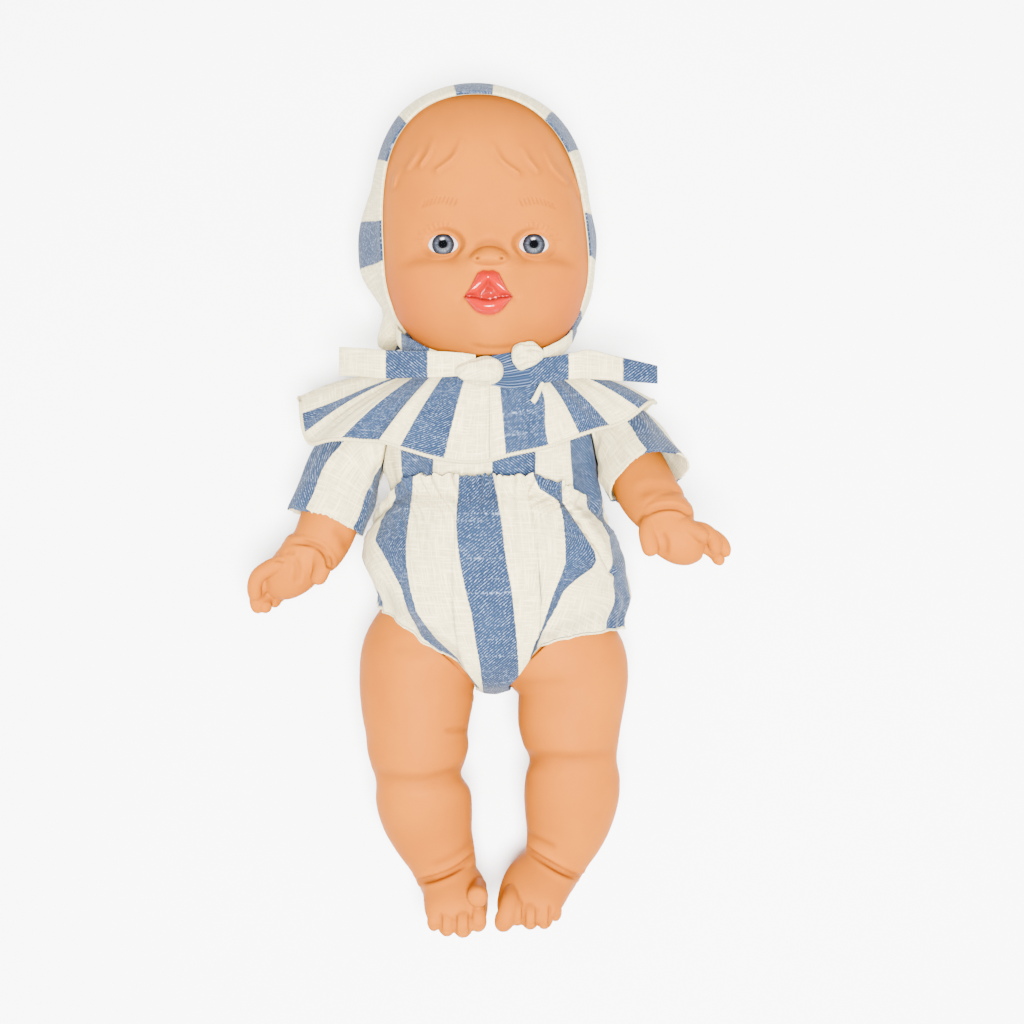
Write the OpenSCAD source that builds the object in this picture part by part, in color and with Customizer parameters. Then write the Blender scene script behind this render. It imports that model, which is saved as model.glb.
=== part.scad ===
// Interactive baby doll in a bonnet, ruffled blouse and bloomers, lying on its back.
// X runs to the doll's left, Y to the crown, Z up to the face. Millimetres. Z = 0 is the floor.

/* [Vinyl] */
// Wall of the hollow moulded vinyl
vinyl = 2.8; // [2:0.1:3.4]
// Gap between two faces that turn on each other
joint_gap = 0.3; // [0.3:0.05:0.5]
// Gap round a stem in its bore
bore_gap = 0.08; // [0.05:0.01:0.15]

/* [Cloth] */
// Thickness of the woven cloth
cloth = 1.2; // [0.8:0.1:1.3]
// Air left between the cloth and what it covers
cloth_gap = 0.5; // [0.4:0.1:0.8]
// Depth that lying on the floor flattens the cloth
flat_depth = 0.6; // [0.3:0.1:0.9]

/* [Head] */
// Half of the head's width at the cheeks
head_half_w = 42.5; // [40:0.5:44]
// Crown above the head's centre
head_up = 64.5; // [62:0.5:66]
// Depth of the jaw below the head's centre
head_down = 44.5; // [43.5:0.5:46]
// Face in front of the head's centre
head_front = 44; // [42:0.5:46]
// Skull behind the head's centre
head_back = 46; // [44:0.5:47]
// Head's centre above the neck joint
head_rise = 41.4; // [40.5:0.1:42]
// Height of the nose on the face
nose_h = 7.5; // [5:0.5:9]
// Height of the pout of the lips
lip_h = 6; // [4:0.5:8]

/* [Eyes] */
// Distance between the two eyes
eye_spacing = 34; // [32:0.5:36]
// Radius of the eye's white dome
eye_r = 7.6; // [7:0.1:8]
// Radius of the opening in the face
eye_open_r = 5.4; // [5:0.1:5.8]
// Radius of the iris disc
iris_r = 4.1; // [3.7:0.1:4.4]
// Radius of the pupil
pupil_r = 1.4; // [1:0.1:1.8]

/* [Neck joint] */
// Height on the body of the plane that parts head from torso
neck_plane = 70.4; // [70:0.1:71]
// Height of the neck's axis above the floor
neck_z = 45; // [44:0.5:46]
// Radius of the neck stud's stem
neck_stem_r = 12; // [10:0.5:12.5]
// Radius of the neck stud's flange
neck_flange_r = 15; // [14:0.5:16]

/* [Shoulder joint] */
// Distance of the shoulder socket from the middle
shoulder_x = 40; // [39.5:0.1:40.5]
// Shoulder socket along the body
shoulder_y = 41; // [40:0.5:42]
// Height of the shoulder socket above the floor
shoulder_z = 40; // [39:0.5:41]
// Upward tilt of the shoulder axis
shoulder_tilt = 12; // [11:0.5:13]
// Radius of the arm's stem
arm_stem_r = 6; // [5:0.25:6.25]
// Radius of the arm's flange
arm_flange_r = 8.2; // [7.5:0.1:8.5]
// Turn of the right arm at rest
right_arm_roll = 6; // [2:1:8]
// Turn of the left arm at rest
left_arm_roll = 50; // [48:1:52]

/* [Hip joint] */
// Distance of the hip socket from the middle
hip_x = 26.5; // [26:0.1:27]
// Hip socket along the body
hip_y = -43; // [-44:0.5:-42]
// Height of the hip socket above the floor
hip_z = 38; // [37:0.5:39]
// Downward tilt of the hip axis
hip_tilt = 46; // [45:0.5:47]
// Radius of the leg's stem
leg_stem_r = 9; // [8:0.25:10]
// Radius of the leg's flange
leg_flange_r = 11.2; // [10.8:0.1:11.6]

/* [Sound module] */
// Width of the module's housing
module_w = 30; // [29:0.5:31]
// Length of the module's housing
module_l = 34; // [32:1:36]
// Depth of the module's housing
module_d = 22; // [21.5:0.5:24]
// Radius of the tummy button
button_r = 7; // [6:0.25:8]
// Travel of the tummy button
button_travel = 2; // [1.5:0.25:2.5]
// Radius of a button cell
cell_r = 5.8; // [5.6:0.1:5.9]
// Thickness of a button cell
cell_h = 5.4; // [5:0.1:5.6]
// Radius of the speaker
speaker_r = 9.5; // [8.5:0.25:10]

/* [Hidden] */
big = 200;
skin_colour = [0.95, 0.72, 0.52];
white_cloth = [0.91, 0.9, 0.86];
blue_cloth = [0.32, 0.45, 0.68];
plastic_colour = [0.85, 0.86, 0.88];
metal_colour = [0.75, 0.76, 0.78];
dark_colour = [0.12, 0.12, 0.14];

// Curves
function unit(v) = v / norm(v);
function mix(a, b, t) = a + (b - a) * t;
function ease(t) = let (u = min(max(t, 0), 1)) u * u * (3 - 2 * u);
function bell(d, s) = exp(-d * d / (2 * s * s));
function spow(v, p) = sign(v) * pow(abs(v), p);
function cubic(a, b, c, d, t) =
    b + 0.5 * t * (c - a + t * (2 * a - 5 * b + 4 * c - d + t * (3 * (b - c) + d - a)));
// Smooth curve through a list of rows, s running from 0 to 1.
function through(rows, s) =
    let (n = len(rows) - 1, u = min(max(s, 0), 1) * n, i = min(floor(u), n - 1))
    cubic(rows[max(i - 1, 0)], rows[i], rows[i + 1], rows[min(i + 2, n)], u - i);
function at(row) = [row[0], row[1], row[2]];
function oval(c, e1, e2, r1, r2, n, p = 1) =
    [for (i = [0:n - 1]) let (a = 360 * i / n) c + e1 * r1 * spow(cos(a), p) + e2 * r2 * spow(sin(a), p)];

// Solids
// Skin over a run of rings, each with the same count of points, closed at both ends.
module skin(rings) {
    n = len(rings[0]);
    m = len(rings);
    sides = [for (i = [0:m - 2], j = [0:n - 1])
        let (a = i * n + j, b = i * n + (j + 1) % n) each [[a, b, b + n], [a, b + n, a + n]]];
    polyhedron([for (r = rings) each r],
        concat([[for (j = [n - 1:-1:0]) j]], sides, [[for (j = [0:n - 1]) (m - 1) * n + j]]));
}
// Skin over rings that come back to the first one, as the wall of a tube does.
module tube_skin(rings) {
    n = len(rings[0]);
    m = len(rings);
    sides = [for (i = [0:m - 1], j = [0:n - 1])
        let (k = (i + 1) % m, a = i * n + j, b = i * n + (j + 1) % n, c = k * n + j, d = k * n + (j + 1) % n)
        each [[a, b, d], [a, d, c]]];
    polyhedron([for (r = rings) each r], sides);
}
function reversed(list) = [for (i = [len(list) - 1:-1:0]) list[i]];
// Rings along a limb; each row is x, y, z, the two half sizes and the heading below the X axis.
function limb_rings(rows, n, m, grow = 0) =
    [for (i = [0:m]) let (row = through(rows, i / m), a = row[5])
        oval(at(row), [-sin(a), -cos(a), 0], [0, 0, 1], max(row[3] + grow, 0.4), max(row[4] + grow, 0.4), n)];
// Rings of a foot, which heads up; each row is x, y, z and the two half sizes.
function foot_rings(rows, n, m) =
    [for (i = [0:m]) let (s = i / m, row = through(rows, s),
        t = unit(at(through(rows, s + 0.02)) - at(through(rows, s - 0.02))),
        side = unit(cross(t, [0, -1, 0])))
        oval(at(row), side, cross(side, t), row[3], row[4], n)];
// Rings across the body; each row is y, half width, lowest z and highest z.
function body_rings(rows, n, m, grow = 0, p = 0.92) =
    [for (i = [0:m]) let (row = through(rows, i / m))
        oval([0, row[0], (row[2] + row[3]) / 2], [1, 0, 0], [0, 0, 1],
            max(row[1] + grow, 0.4), max((row[3] - row[2]) / 2 + grow, 0.4), n, p)];

// Everything past a plane that faces along X, in the current frame.
module past(gap = 0) { translate([gap, -big / 2, -big / 2]) cube(big); }
module at_shoulder(side, roll = 0) {
    mirror([side < 0 ? 1 : 0, 0, 0])
        translate([shoulder_x, shoulder_y, shoulder_z])
            rotate([0, 0, shoulder_tilt])
                rotate([-roll, 0, 0]) children();
}
module at_hip(side) {
    mirror([side < 0 ? 1 : 0, 0, 0])
        translate([hip_x, hip_y, hip_z])
            rotate([0, 0, -hip_tilt]) children();
}
module along_x(r, x0, x1, fn = 48) {
    translate([x0, 0, 0]) rotate([0, 90, 0]) cylinder(r = r, h = x1 - x0, $fn = fn);
}
module along_y(r, y0, y1, fn = 48) {
    translate([0, y0, 0]) rotate([-90, 0, 0]) cylinder(r = r, h = y1 - y0, $fn = fn);
}
module under_floor() { translate([-big, -big, -big]) cube([2 * big, 2 * big, big]); }

// Head
head_y = neck_plane + head_rise;
bonnet_ease = 0.45;
bonnet_gap = cloth_gap + bonnet_ease;
head_z = head_back + bonnet_gap + cloth - flat_depth;
head_c = [0, head_y, head_z];
wide_p = 2.3;
crown_p = 2.35;
jaw_p = 2.8;
eye_drop = 1.2;
// Relief of the face: x, y from the head's centre, height, spread.
face_relief = [[0, -6.5, nose_h, 5], [0, -21, lip_h, 8], [0, -34, 4.5, 8], [24, -20, 2, 12],
    [-24, -20, 2, 12], [0, 30, 2, 20], [17, -1, -2.5, 7], [-17, -1, -2.5, 7]];
function head_r0(d) =
    let (n = d.y > 0 ? crown_p : jaw_p, b = d.y > 0 ? head_up : head_down,
        c = d.z > 0 ? head_front : head_back,
        w = pow(pow(abs(d.x) / head_half_w, wide_p) + pow(abs(d.z) / c, wide_p), 1 / wide_p))
    1 / pow(pow(w, n) + pow(abs(d.y) / b, n), 1 / n);
function relief(p, i = 0) = i == len(face_relief) ? 0 : let (f = face_relief[i])
    f[2] * bell(norm([p.x - f[0], p.y - f[1]]), f[3]) + relief(p, i + 1);
function head_r(d) = let (r = head_r0(d)) r + (d.z > 0 ? relief(d * r) * ease(d.z * 3) : 0);
function head_dir(polar, turn) = [sin(polar) * sin(turn), cos(polar), sin(polar) * cos(turn)];
function head_rings(n, m, grow, crowd) =
    [for (i = [0:m]) let (polar = 3 + 174 * i / m)
        [for (j = [0:n - 1]) let (t = 360 * j / n, d = head_dir(polar, t - crowd * sin(t)))
            head_c + d * (grow < 0 ? head_r0(d) + grow : head_r(d))]];
eye_dir = unit([eye_spacing / 2, -eye_drop, head_front - 2]);
eye_inset = 0.5;
eye_front_z = head_z + eye_dir.z * head_r(eye_dir) - eye_inset;
eye_pos = [eye_spacing / 2, head_y - eye_drop, eye_front_z - eye_r];
module at_eye(side) {
    translate([side * eye_pos.x, eye_pos.y, eye_pos.z]) children();
}
face_crowd = 26;
eye_seat_gap = 0.05;
eye_seat_back = 3;
module head_shell() {
    color(skin_colour) difference() {
        skin(head_rings(40, 26, 0, face_crowd));
        difference() {
            skin(head_rings(16, 10, -vinyl, 0));
            translate([-big / 2, neck_plane + vinyl - big, -big / 2]) cube(big);
            for (s = [-1, 1]) at_eye(s)
                translate([0, 0, -eye_seat_back]) cylinder(r = eye_r + vinyl, h = big, $fn = 48);
        }
        translate([-big / 2, neck_plane + joint_gap - big, -big / 2]) cube(big);
        translate([0, 0, neck_z]) along_y(neck_stem_r + bore_gap, 0, head_y, 64);
        for (s = [-1, 1]) at_eye(s) {
            sphere(r = eye_r + eye_seat_gap, $fn = 48);
            cylinder(r = eye_open_r, h = big, $fn = 48);
            translate([0, 0, -eye_seat_back - vinyl])
                cylinder(r = eye_r + eye_seat_gap, h = eye_seat_back + vinyl, $fn = 48);
        }
    }
}

// Eyes
iris_depth = 0.9;
iris_z = sqrt(eye_r * eye_r - iris_r * iris_r) - iris_depth;
iris_h = 0.5;
pupil_h = 0.25;
eye_wall = 2;
retainer_wall = 1.4;
eye_seam = 0.05;
module eye_white(side) {
    color(white_cloth) at_eye(side) difference() {
        sphere(r = eye_r, $fn = 48);
        sphere(r = eye_r - eye_wall, $fn = 48);
        translate([0, 0, -big]) cylinder(r = big, h = big, $fn = 24);
        translate([0, 0, iris_z]) cylinder(r = iris_r + eye_seam, h = eye_r, $fn = 48);
    }
}
module iris(side) {
    color([0.4, 0.47, 0.56]) at_eye(side) translate([0, 0, iris_z])
        cylinder(r = iris_r, h = iris_h, $fn = 48);
}
module eye_pupils() {
    color(dark_colour) for (s = [-1, 1]) at_eye(s)
        translate([0, 0, iris_z + iris_h]) cylinder(r = pupil_r, h = pupil_h, $fn = 32);
}
module cornea(side) {
    color([0.9, 0.95, 1]) at_eye(side) intersection() {
        sphere(r = eye_r, $fn = 48);
        translate([0, 0, iris_z + iris_h + pupil_h]) cylinder(r = iris_r, h = eye_r, $fn = 48);
    }
}
retainer_h = 2;
module eye_retainers() {
    color(plastic_colour) for (s = [-1, 1]) at_eye(s) difference() {
        translate([0, 0, -retainer_h]) cylinder(r = eye_r, h = retainer_h, $fn = 48);
        translate([0, 0, -retainer_h]) cylinder(r = eye_r - retainer_wall, h = retainer_h, $fn = 48);
    }
}

// Bonnet
bonnet_edge_at = 110;
bonnet_nape_drop = 40;
bonnet_loose = 5;
function bonnet_edge(al) = bonnet_edge_at - bonnet_nape_drop * ease((-0.45 - sin(al)) / 0.55);
function bonnet_dir(psi, al) = [sin(psi) * cos(al), sin(psi) * sin(al), -cos(psi)];
function bonnet_puff(psi, al) =
    bonnet_loose * bell(psi - 88, 22) * bell((al + 360) % 360 - 182, 26)
    + 0.9 * bell(psi - 80, 30) * (1 + sin(al * 9)) / 2;
function bonnet_ring(share, n, lift) =
    [for (j = [0:n - 1])
        let (al = 360 * j / n, psi = 3 + (bonnet_edge(al) - 3) * share, d = bonnet_dir(psi, al))
        head_c + d * (head_r(d) + lift + bonnet_puff(psi, al))];
bonnet_n = 34;
bonnet_m = 10;
hem_share = 0.965;
hem_seam = 0.006;
function bonnet_shell(low, high, lift, thick) = concat(
    [for (i = [0:bonnet_m]) bonnet_ring(mix(low, high, i / bonnet_m), bonnet_n, lift + thick)],
    [for (i = [bonnet_m:-1:0]) bonnet_ring(mix(low, high, i / bonnet_m), bonnet_n, lift)]);
module bonnet_trim() {
    under_floor();
    translate([-big / 2, neck_plane + joint_gap - big, -big / 2]) cube(big);
}
module bonnet_hood() {
    color(blue_cloth) difference() {
        skin(reversed(bonnet_shell(0, hem_share - hem_seam, bonnet_gap, cloth)));
        bonnet_trim();
    }
}
hem_lift = 0.25;
hem_section = [[hem_share, cloth + hem_lift], [1, cloth + hem_lift], [1, 0], [hem_share, 0]];
module bonnet_hem() {
    color(white_cloth) difference() {
        tube_skin(reversed([for (r = hem_section)
            bonnet_ring(r[0], bonnet_n, bonnet_gap + r[1])]));
        bonnet_trim();
    }
}

// Waist: the bloomers' band, the elastic inside it, the blouse tucked into it and the body inside that.
waist_half_w = 42.9;
waist_fit = 0.5;
bloomer_wave = 0.5;
waist_elastic_t = 0.4;
waist_elastic_w = waist_half_w - cloth - bloomer_wave - waist_elastic_t - waist_fit;
tuck_half_w = waist_elastic_w - waist_fit;
ribs_half_w = tuck_half_w + 1.6;
waist_ease = 1.4;
ribs_ease = 1;
body_waist_w = tuck_half_w - cloth - waist_ease;
body_ribs_w = ribs_half_w - cloth - ribs_ease;

// Torso
torso_rows = [[-58.5, 5, 31, 45], [-54, 16, 20, 56], [-44, 28.5, 10, 63], [-28, 37, 4, 69], [-8, 39, 3.6, 71],
    [12, body_waist_w, 5, 69], [29, body_ribs_w, 7.5, 66.5], [42, 43, 11, 64.5], [53, 37, 15, 61.5],
    [61, 23, 22, 62], [66, 18, 27, 63], [neck_plane - 0.1, 17.8, 27.2, 62.8]];
torso_n = 28;
torso_m = 18;
hatch_y = -2;
button_y = hatch_y + 11;
module limb_planes(gap) {
    for (s = [-1, 1]) {
        at_shoulder(s) past(gap);
        at_hip(s) past(gap);
    }
}
module torso_solid(grow, gap, n, m) {
    difference() {
        skin(body_rings(torso_rows, n, m, grow));
        limb_planes(gap);
    }
}
flange_h = 2.2;
// Depth that one solid of a piece runs into the next.
bite = 0.5;
neck_flange_y = neck_plane + 2 * joint_gap + vinyl;
button_hole_gap = 0.15;
frame_lip = 3.2;
sound_hole_r = 0.8;
sound_ring_r = 5;
speaker_y = hatch_y - 4.5;
module torso_shell() {
    color(skin_colour) difference() {
        union() {
            difference() {
                torso_solid(0, 0, torso_n, torso_m);
                difference() {
                    torso_solid(-vinyl, -vinyl, 16, 12);
                    translate([-big / 2, neck_plane - vinyl, -big / 2]) cube(big);
                }
                limb_bores();
                hatch_cut();
                translate([0, button_y, neck_z])
                    cylinder(r = button_r + button_hole_gap, h = big, $fn = 48);
                for (a = [0:60:300])
                    translate([sound_ring_r * cos(a), speaker_y + sound_ring_r * sin(a), neck_z])
                        cylinder(r = sound_hole_r, h = big, $fn = 16);
            }
            translate([0, 0, neck_z]) {
                along_y(neck_stem_r, neck_plane - bite, neck_flange_y + flange_h);
                along_y(neck_flange_r, neck_flange_y, neck_flange_y + flange_h);
            }
        }
        translate([0, 0, neck_z]) along_y(neck_stem_r - vinyl, neck_plane - 2 * vinyl, head_y);
    }
}
// Room for a plug: a bore through the wall and a pocket behind it for the flange.
module bore(stem_r, flange_r) {
    along_x(stem_r + bore_gap, -3 * vinyl, vinyl);
    along_x(flange_r + joint_gap, -vinyl - flange_h - 2 * joint_gap, -vinyl);
}
module limb_bores() {
    for (s = [-1, 1]) {
        at_shoulder(s) bore(arm_stem_r, arm_flange_r);
        at_hip(s) bore(leg_stem_r, leg_flange_r);
    }
}
module hatch_cut() {
    translate([module_x0, module_y0, -1]) cube([module_w, module_l, clamp_z + 1]);
}

// Plug of a limb, its axis along X and its flange at negative X.
module plug(stem_r, flange_r) {
    along_x(stem_r, -vinyl - joint_gap - flange_h, vinyl);
    along_x(flange_r, -vinyl - joint_gap - flange_h, -vinyl - joint_gap);
}

// Arms: built with the shoulder axis along X and the arm hanging along -Y.
arm_rows = [[joint_gap, 0, 0, 14.5, 15.5, 0], [7.4, -4, 0, 14.3, 15.4, 25], [13.7, -13, 0, 12.4, 14.2, 50],
    [17.1, -25, 0, 12, 13, 70], [18.6, -37, 0, 11.9, 12.2, 75], [20.2, -46, 0, 11.4, 11.6, 72],
    [22.5, -52.5, 0, 10.2, 10.8, 66], [24.6, -57, 0.5, 10, 10.6, 62], [28, -63.5, 1, 9, 10.2, 60],
    [31, -69, 1, 6.8, 9, 60], [33, -72.5, 1, 3, 6, 60]];
arm_n = 18;
arm_m = 17;
finger_r = 3;
thumb_r = 3.4;
fingers_z = [6.6, 2.4, -2, -6];
module finger(z, r) {
    hull() {
        translate([30, -66, z]) sphere(r = r, $fn = 8);
        translate([35, -75, z]) sphere(r = r, $fn = 8);
        translate([33, -80, z + 0.5]) sphere(r = r * 0.85, $fn = 8);
    }
}
module thumb() {
    hull() {
        translate([21, -57, 6]) sphere(r = thumb_r, $fn = 8);
        translate([19.5, -65, 8.5]) sphere(r = thumb_r * 0.9, $fn = 8);
    }
}
module arm(side, roll) {
    color(skin_colour) at_shoulder(side, roll) difference() {
        union() {
            skin(limb_rings(arm_rows, arm_n, arm_m));
            for (z = fingers_z) finger(z, finger_r);
            thumb();
            plug(arm_stem_r, arm_flange_r);
        }
        difference() {
            skin(limb_rings(arm_rows, 10, 9, -vinyl));
            translate([-big + joint_gap + vinyl, -big / 2, -big / 2]) cube(big);
        }
        along_x(arm_stem_r - vinyl, -big, 2 * vinyl);
    }
}
sleeve_rows = [[joint_gap, 0, 0, 17, 18, 0], [8, -4, 0, 17.5, 18, 25], [14, -13, 0, 16.5, 17.5, 50],
    [17.5, -25, 0, 15.5, 16.5, 70], [19, -37, 0, 15, 15.5, 75]];
sleeve_n = 25;
sleeve_m = 5;
sleeve_wave = 0.5;
function sleeve_rings(grow, wave) =
    [for (i = [0:sleeve_m]) let (r = limb_rings(sleeve_rows, sleeve_n, sleeve_m, grow)[i],
        c = at(through(sleeve_rows, i / sleeve_m)))
        [for (j = [0:sleeve_n - 1]) let (w = wave * (i / sleeve_m) * sin(360 * j / sleeve_n * 5))
            r[j] + unit(r[j] - c) * w]];
module sleeve(side, roll) {
    color(blue_cloth) at_shoulder(side, roll)
        tube_skin(concat(sleeve_rings(0, sleeve_wave), reversed(sleeve_rings(-cloth, sleeve_wave))));
}

// Legs: x is measured outward from the middle on either side.
thigh_r = 22.5;
right_leg_rows = [[hip_x, hip_y, hip_z, 24, 24, hip_tilt], [30, -51, 37.5, 23.6, 23.5, 62],
    [31.8, -62, 37, thigh_r, 22.5, 80],
    [31.6, -76, 38, 20.6, 20.6, 90], [31.2, -88, 38.5, 19.4, 19.4, 92], [30.6, -97, 37.5, 17.4, 17.6, 94],
    [29, -108, 34, 19, 18.6, 99], [26.4, -121, 29, 16.8, 16.4, 106], [22.8, -131, 25.5, 12.8, 13.2, 110],
    [20.8, -138, 24, 11, 13, 108], [19.8, -142, 23, 6, 9, 104]];
left_leg_rows = [[hip_x, hip_y, hip_z, 24, 24, hip_tilt], [30.5, -51, 37.5, 23.6, 23.5, 62],
    [32.8, -62, 37, thigh_r, 22.5, 80],
    [32.6, -75, 38, 20.4, 20.6, 90], [31.8, -84, 38.5, 18.6, 19, 91], [31.6, -91, 38, 17.6, 17.6, 92],
    [31, -104, 34.5, 19, 18.6, 96], [29, -119, 29.5, 16.8, 16.4, 104], [25.8, -130, 25.5, 12.8, 13.2, 110],
    [23.2, -137, 24, 11, 13, 110], [21.8, -141, 23, 6, 9, 106]];
leg_n = 18;
leg_m = 18;
// Feet: heel to ball, and the toes' row beyond the ball.
right_foot = [[22, -142, 4, 5, 4], [21.4, -141, 7.5, 9.4, 8.4], [20, -140.5, 19, 10.6, 10.8],
    [16.8, -144, 32, 11.6, 9.4], [14.7, -149.5, 42, 12.2, 7.4], [13.9, -152.5, 46.5, 10, 4]];
left_foot = [[25.4, -140, 4, 5, 4], [24.8, -139, 7.5, 9.4, 8.4], [22.2, -138.5, 19, 10.6, 10.8],
    [17.2, -142, 32, 11.6, 9.4], [13.6, -147, 42, 12.2, 7.4], [12.4, -149.5, 46.5, 10, 4]];
toe_r = [4.1, 3.1, 2.9, 2.7, 2.5];
toe_at = [-9.2, -2.8, 2.2, 6.6, 10.4];
toe_back = [0, 0, -0.6, -1.6, -3.2];
toe_up = 45.5;
toe_lead = 3.2;
module toes(foot, turn) {
    tip = foot[4];
    translate([tip[0], tip[1] - 2.4, toe_up]) rotate([0, 0, turn])
        for (i = [0:4]) translate([toe_at[i], -toe_back[i] / 2, toe_back[i]]) hull() {
            translate([0, 1.5, -toe_lead]) sphere(r = toe_r[i], $fn = 8);
            translate([0, -0.5, toe_lead]) sphere(r = toe_r[i], $fn = 8);
        }
}
function hip_axis() = [cos(hip_tilt), -sin(hip_tilt), 0];
function lifted(rows) = concat(
    [concat(at(rows[0]) + hip_axis() * joint_gap, [rows[0][3], rows[0][4], rows[0][5]])],
    [for (i = [1:len(rows) - 1]) rows[i]]);
module leg(side, rows, foot, turn) {
    color(skin_colour) mirror([side < 0 ? 1 : 0, 0, 0]) difference() {
        union() {
            skin(limb_rings(lifted(rows), leg_n, leg_m));
            skin(foot_rings(foot, 14, 8));
            toes(foot, turn);
            at_hip(1) plug(leg_stem_r, leg_flange_r);
        }
        difference() {
            skin(limb_rings(lifted(rows), 12, 11, -vinyl));
            at_hip(1) translate([-big + joint_gap + vinyl, -big / 2, -big / 2]) cube(big);
        }
        at_hip(1) along_x(leg_stem_r - vinyl, -big, 2 * vinyl);
    }
}

// Blouse
bodice_rows = [[16, tuck_half_w - 0.3, 3, 71.4], [22.5, tuck_half_w - 0.1, 3.8, 70.8],
    [29, ribs_half_w, 5, 69.2], [42, 45.4, 8.4, 67.2],
    [53, 39.6, 12.2, 64.6], [61, 26, 18.6, 65.4], [64.5, 22.4, 22.6, 67.4]];
bodice_n = 32;
bodice_m = 7;
module blouse_bodice() {
    color(blue_cloth) difference() {
        tube_skin(concat(body_rings(bodice_rows, bodice_n, bodice_m, 0),
            reversed(body_rings(bodice_rows, bodice_n, bodice_m, -cloth))));
        limb_planes(0);
    }
}
snap_r = 3;
snap_h = 0.8;
snap_gap = 0.3;
// Places of the snaps down the back, counted in rows of the bodice.
snaps = [1.9, 2.4];
function bodice_back(k) = let (row = through(bodice_rows, k / (len(bodice_rows) - 1))) [0, row[0], row[2]];
function bodice_slope(k) = let (d = bodice_back(k + 0.3) - bodice_back(k - 0.3)) atan2(d.z, d.y);
module blouse_snaps() {
    color(metal_colour) for (k = snaps)
        translate(bodice_back(k)) rotate([bodice_slope(k), 0, 0])
            translate([0, 0, -snap_gap - snap_h]) cylinder(r = snap_r, h = snap_h, $fn = 32);
}

// Ruffle collar: runs round the neck from the neckline to a waved hem. Its angle is 0 at the front.
ruffle_n = 66;
ruffle_m = 3;
ruffle_left = 66;
ruffle_right = 76;
ruffle_wave = 1.8;
ruffle_waves = 11;
ruffle_crown = 2.8;
neckline_y = 65.5;
neckline_r = 25.5;
ruffle_hem_y = 30;
ruffle_side_rise = 21;
ruffle_mid_z = 42;
ruffle_half_d = 38;
ruffle_left_lift = 7;
function ruffle_hem(b) = let (w = sin(b) > 0 ? ruffle_left : ruffle_right, f = cos(b))
    [w * spow(sin(b), 0.9), ruffle_hem_y + ruffle_side_rise * pow(abs(sin(b)), 4) + 4 * (1 - f),
        ruffle_mid_z + ruffle_half_d * spow(f, 0.85)
            + (sin(b) > 0 ? ruffle_left_lift * bell(b - 65, 25) : 0)];
function ruffle_neck(b) = [neckline_r * sin(b), neckline_y - 1.5 * cos(b), neck_z + neckline_r * cos(b)];
function ruffle_normal(b) = unit([0.2 * sin(b), 0.2 + 0.6 * pow(sin(b), 8), spow(cos(b), 0.5)]);
function ruffle_point(b, t, lift) = mix(ruffle_neck(b), ruffle_hem(b), t)
    + ruffle_normal(b) * (lift + ruffle_crown * sin(180 * t)
        + ease((cos(b) + 0.35) / 0.6) * ruffle_wave * t * sin(b * ruffle_waves));
function ruffle_section(b) = concat([for (i = [0:ruffle_m]) ruffle_point(b, i / ruffle_m, 0)],
    [for (i = [ruffle_m:-1:0]) ruffle_point(b, i / ruffle_m, cloth)]);
function ruffle_run(from, to) = [for (j = [from:to]) ruffle_section(360 * j / ruffle_n)];
module collar_ruffle() {
    color(blue_cloth) difference() {
        tube_skin(ruffle_run(0, ruffle_n - 1));
        for (s = [-1, 1]) at_shoulder(s) past(0);
    }
}
lobe_first = 4;
lobe_last = 30;
module collar_lobe(side, roll) {
    color(blue_cloth) difference() {
        intersection() {
            skin(side > 0 ? ruffle_run(lobe_first, lobe_last)
                : ruffle_run(ruffle_n - lobe_last, ruffle_n - lobe_first));
            at_shoulder(side) past(joint_gap);
        }
        at_shoulder(side, roll) skin(sleeve_rings(cloth_gap, sleeve_wave));
    }
}
tape_turn = 17;
tape_share = 0.3;
tape_lift = 1.3;
tape_size = [9, 1.8, 0.6];
module neck_tape() {
    color(white_cloth) translate(ruffle_point(tape_turn, tape_share, cloth + tape_lift))
        rotate([-16, 10, 8]) cube(tape_size, center = true);
}

// Ties and knots of the bonnet, lying on the collar.
tie_t = 1.2;
right_tie_rows = [[-10.5, 63, 77.2, 3.2, 14], [-16, 63.4, 76, 4.8, 8], [-30, 64.4, 73.4, 5.4, 4],
    [-44, 64.6, 71.6, 5.5, -4], [-56, 67.6, 68, 5.5, 2]];
left_tie_rows = [[4.5, 63, 77.2, 3.2, -8], [11, 63, 76.2, 4.6, 2], [26, 63.2, 74.6, 5.3, 6],
    [44, 63.4, 75, 5.4, 0], [63, 63.4, 74.5, 5.4, -4]];
// Each row is x, y, z, half the tie's width and its tilt.
function tie_rings(rows) = [for (r = rows)
    let (c = at(r), e = [0, cos(r[4]), sin(r[4])] * r[3], n = [0, -sin(r[4]), cos(r[4])] * tie_t)
    [c - e, c + e, c + e + n, c - e + n]];
module tie(rows) {
    color(white_cloth) skin(rows[0][0] > rows[1][0] ? tie_rings(rows) : reversed(tie_rings(rows)));
}
knot_n = 12;
knot_m = 7;
knot_fold = 0.08;
module knot(c, r) {
    color(white_cloth) skin([for (i = [0:knot_m]) let (p = 8 + 164 * i / knot_m)
        [for (j = [0:knot_n - 1]) let (a = 360 * j / knot_n, w = 1 + knot_fold * sin(a * 4 + p))
            c + [r.x * cos(p), r.y * sin(p) * cos(a) * w, r.z * sin(p) * sin(a) * w]]]);
}
module tie_knot() { knot([-3, 63.4, 77.8], [7.4, 5.6, 4.8]); }
module chin_knot() { knot([15, 65, 81.8], [5.6, 4.6, 4]); }

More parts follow.
